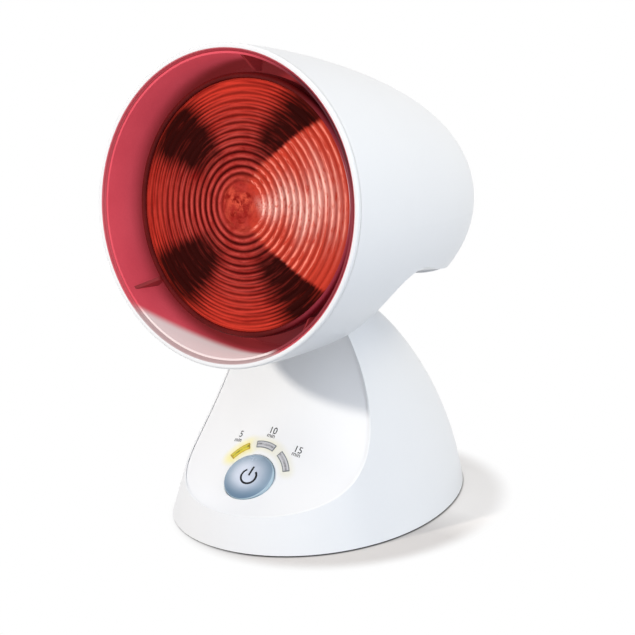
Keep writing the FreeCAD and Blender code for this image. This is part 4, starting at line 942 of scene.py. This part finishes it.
dress("lamp_filament", metal("filament_tungsten", (0.55, 0.53, 0.50), (0.40, 0.38, 0.36),
                             gloss=0.35))
dress("filament_leads", metal("lead_nickel", (0.60, 0.58, 0.54), (0.44, 0.42, 0.40), gloss=0.3))
dress("lamp_cap", metal("cap_nickel", (0.70, 0.68, 0.62), (0.52, 0.50, 0.45), gloss=0.2))
dress("cap_insulator", moulded("insulator_glass", (0.03, 0.03, 0.035), (0.02, 0.02, 0.022),
                               gloss=0.12, Coat_Weight=0.6))
dress("cap_contact", metal("cap_solder", (0.60, 0.60, 0.60), (0.42, 0.42, 0.43), cloud=500))

# ---------------------------------------------------------------- liner and fins
# A thin spun liner inside the mouth, sprayed with a heat-proof lacquer. Its red is painted
# light from the bulb, with a painted glow. Three thin fins run from it to the bulb's rim and
# hold the glass steady.

liner_painted_glow = moulded("liner_painted_glow", (0.56, 0.070, 0.095), (0.50, 0.055, 0.078), cloud=30, grain=900,
                    gloss=0.34, spread=0.12, relief=0.04, Specular_IOR_Level=0.3,
                    Emission_Strength=0.5)
tree, colour = opened(liner_painted_glow)
places = add(tree, "ShaderNodeGroup", node_tree=head_room).outputs
right, up, behind = places["Right"], places["Up"], places["Behind"]
# Painted shade: darker deeper in, on the far side and at the lower right.
colour = blend(tree, ranged(tree, behind, 17.0, 30.0, high=0.8), colour, (0.16, 0.014, 0.012, 1))
far_side = ranged(tree, figure(tree, "MULTIPLY_ADD", up, 0.35, right), 0.25, 0.85)
colour = blend(tree, far_side, colour, (0.055, 0.005, 0.010, 1))
low_right = ranged(tree, figure(tree, "MULTIPLY_ADD", up, -0.6, right), 0.55, 0.95)
colour = blend(tree, low_right, colour, (0.17, 0.020, 0.028, 1))

# A painted pool of light makes the lowest part of the liner pale, where the light from the left
# falls in. Its edge lies a little lower on the right and towards the back.
pale_lean = 0.07
low = figure(tree, "SUBTRACT", figure(tree, "MULTIPLY", right, -pale_lean), up)
low = figure(tree, "MULTIPLY_ADD", behind, -0.0070, low)
colour = blend(tree, ranged(tree, low, 0.79, 0.86), colour, (0.62, 0.52, 0.51, 1))
coloured(liner_painted_glow, colour, glows=True)
dress("inner_liner", liner_painted_glow)
# The fins take the liner's painted red light and a painted glow.
dress("liner_fins", moulded("fin_painted_glow", (0.24, 0.024, 0.028), (0.18, 0.017, 0.020), cloud=90,
                            grain=900, gloss=0.4, relief=0.05, Specular_IOR_Level=0.3,
                            Emission_Strength=0.25, Emission_Color=(0.24, 0.024, 0.028, 1)))

# ---------------------------------------------------------------- mouth ring
# A white moulded ring finishes the mouth and hides the liner's edge. Its collar plugs into the
# shell, and a fine joint line is left between the two. Its lip carries the liner's painted red
# light, pale where the painted pool of light falls.

lip_round = 1.1
turn = np.linspace(0, math.pi / 2, 9)
outer_lip = np.stack((73.1 + lip_round * np.sin(turn), lip_round * (1 - np.cos(turn))), 1)
inner_lip = np.stack((72.4 - lip_round * np.cos(turn), lip_round * (1 - np.sin(turn))), 1)
ring_back = np.array(((74.2, 2.2), (71.9, 2.2), (71.8, 7.2), (70.9, 7.2), (70.55, 2.4),
                      (70.55, 1.6)))
ring = turned_piece("mouth_ring_white", np.concatenate((inner_lip, outer_lip, ring_back)), 320,
                    closed=True)
ring_white = moulded("ring_white", (0.875, 0.880, 0.886), (0.855, 0.862, 0.872), cloud=14,
                     grain=700, gloss=0.28, relief=0.012, Coat_Weight=0.15)
tree, colour = opened(ring_white)
r, angle, s = head_places(ring)
# Painted light: the lip's inner edge takes the liner's painted red, pale where the painted pool of
# light falls.
store(ring, "lacquer", ramp(r, 72.15, 71.9) * ramp(s, 3.5, 3.0))
lowness = -r / liner_r * (np.sin(np.radians(angle)) + pale_lean * np.cos(np.radians(angle)))
store(ring, "pale_lip", ramp(lowness, 0.79, 0.88))
lip_colour = blend(tree, stored(tree, "pale_lip"), (0.60, 0.075, 0.100, 1), (0.48, 0.34, 0.34, 1))
colour = blend(tree, stored(tree, "lacquer"), colour, lip_colour)
coloured(ring_white, colour)
ring.data.materials.append(ring_white)
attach(ring, "head")
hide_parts("mouth_ring")
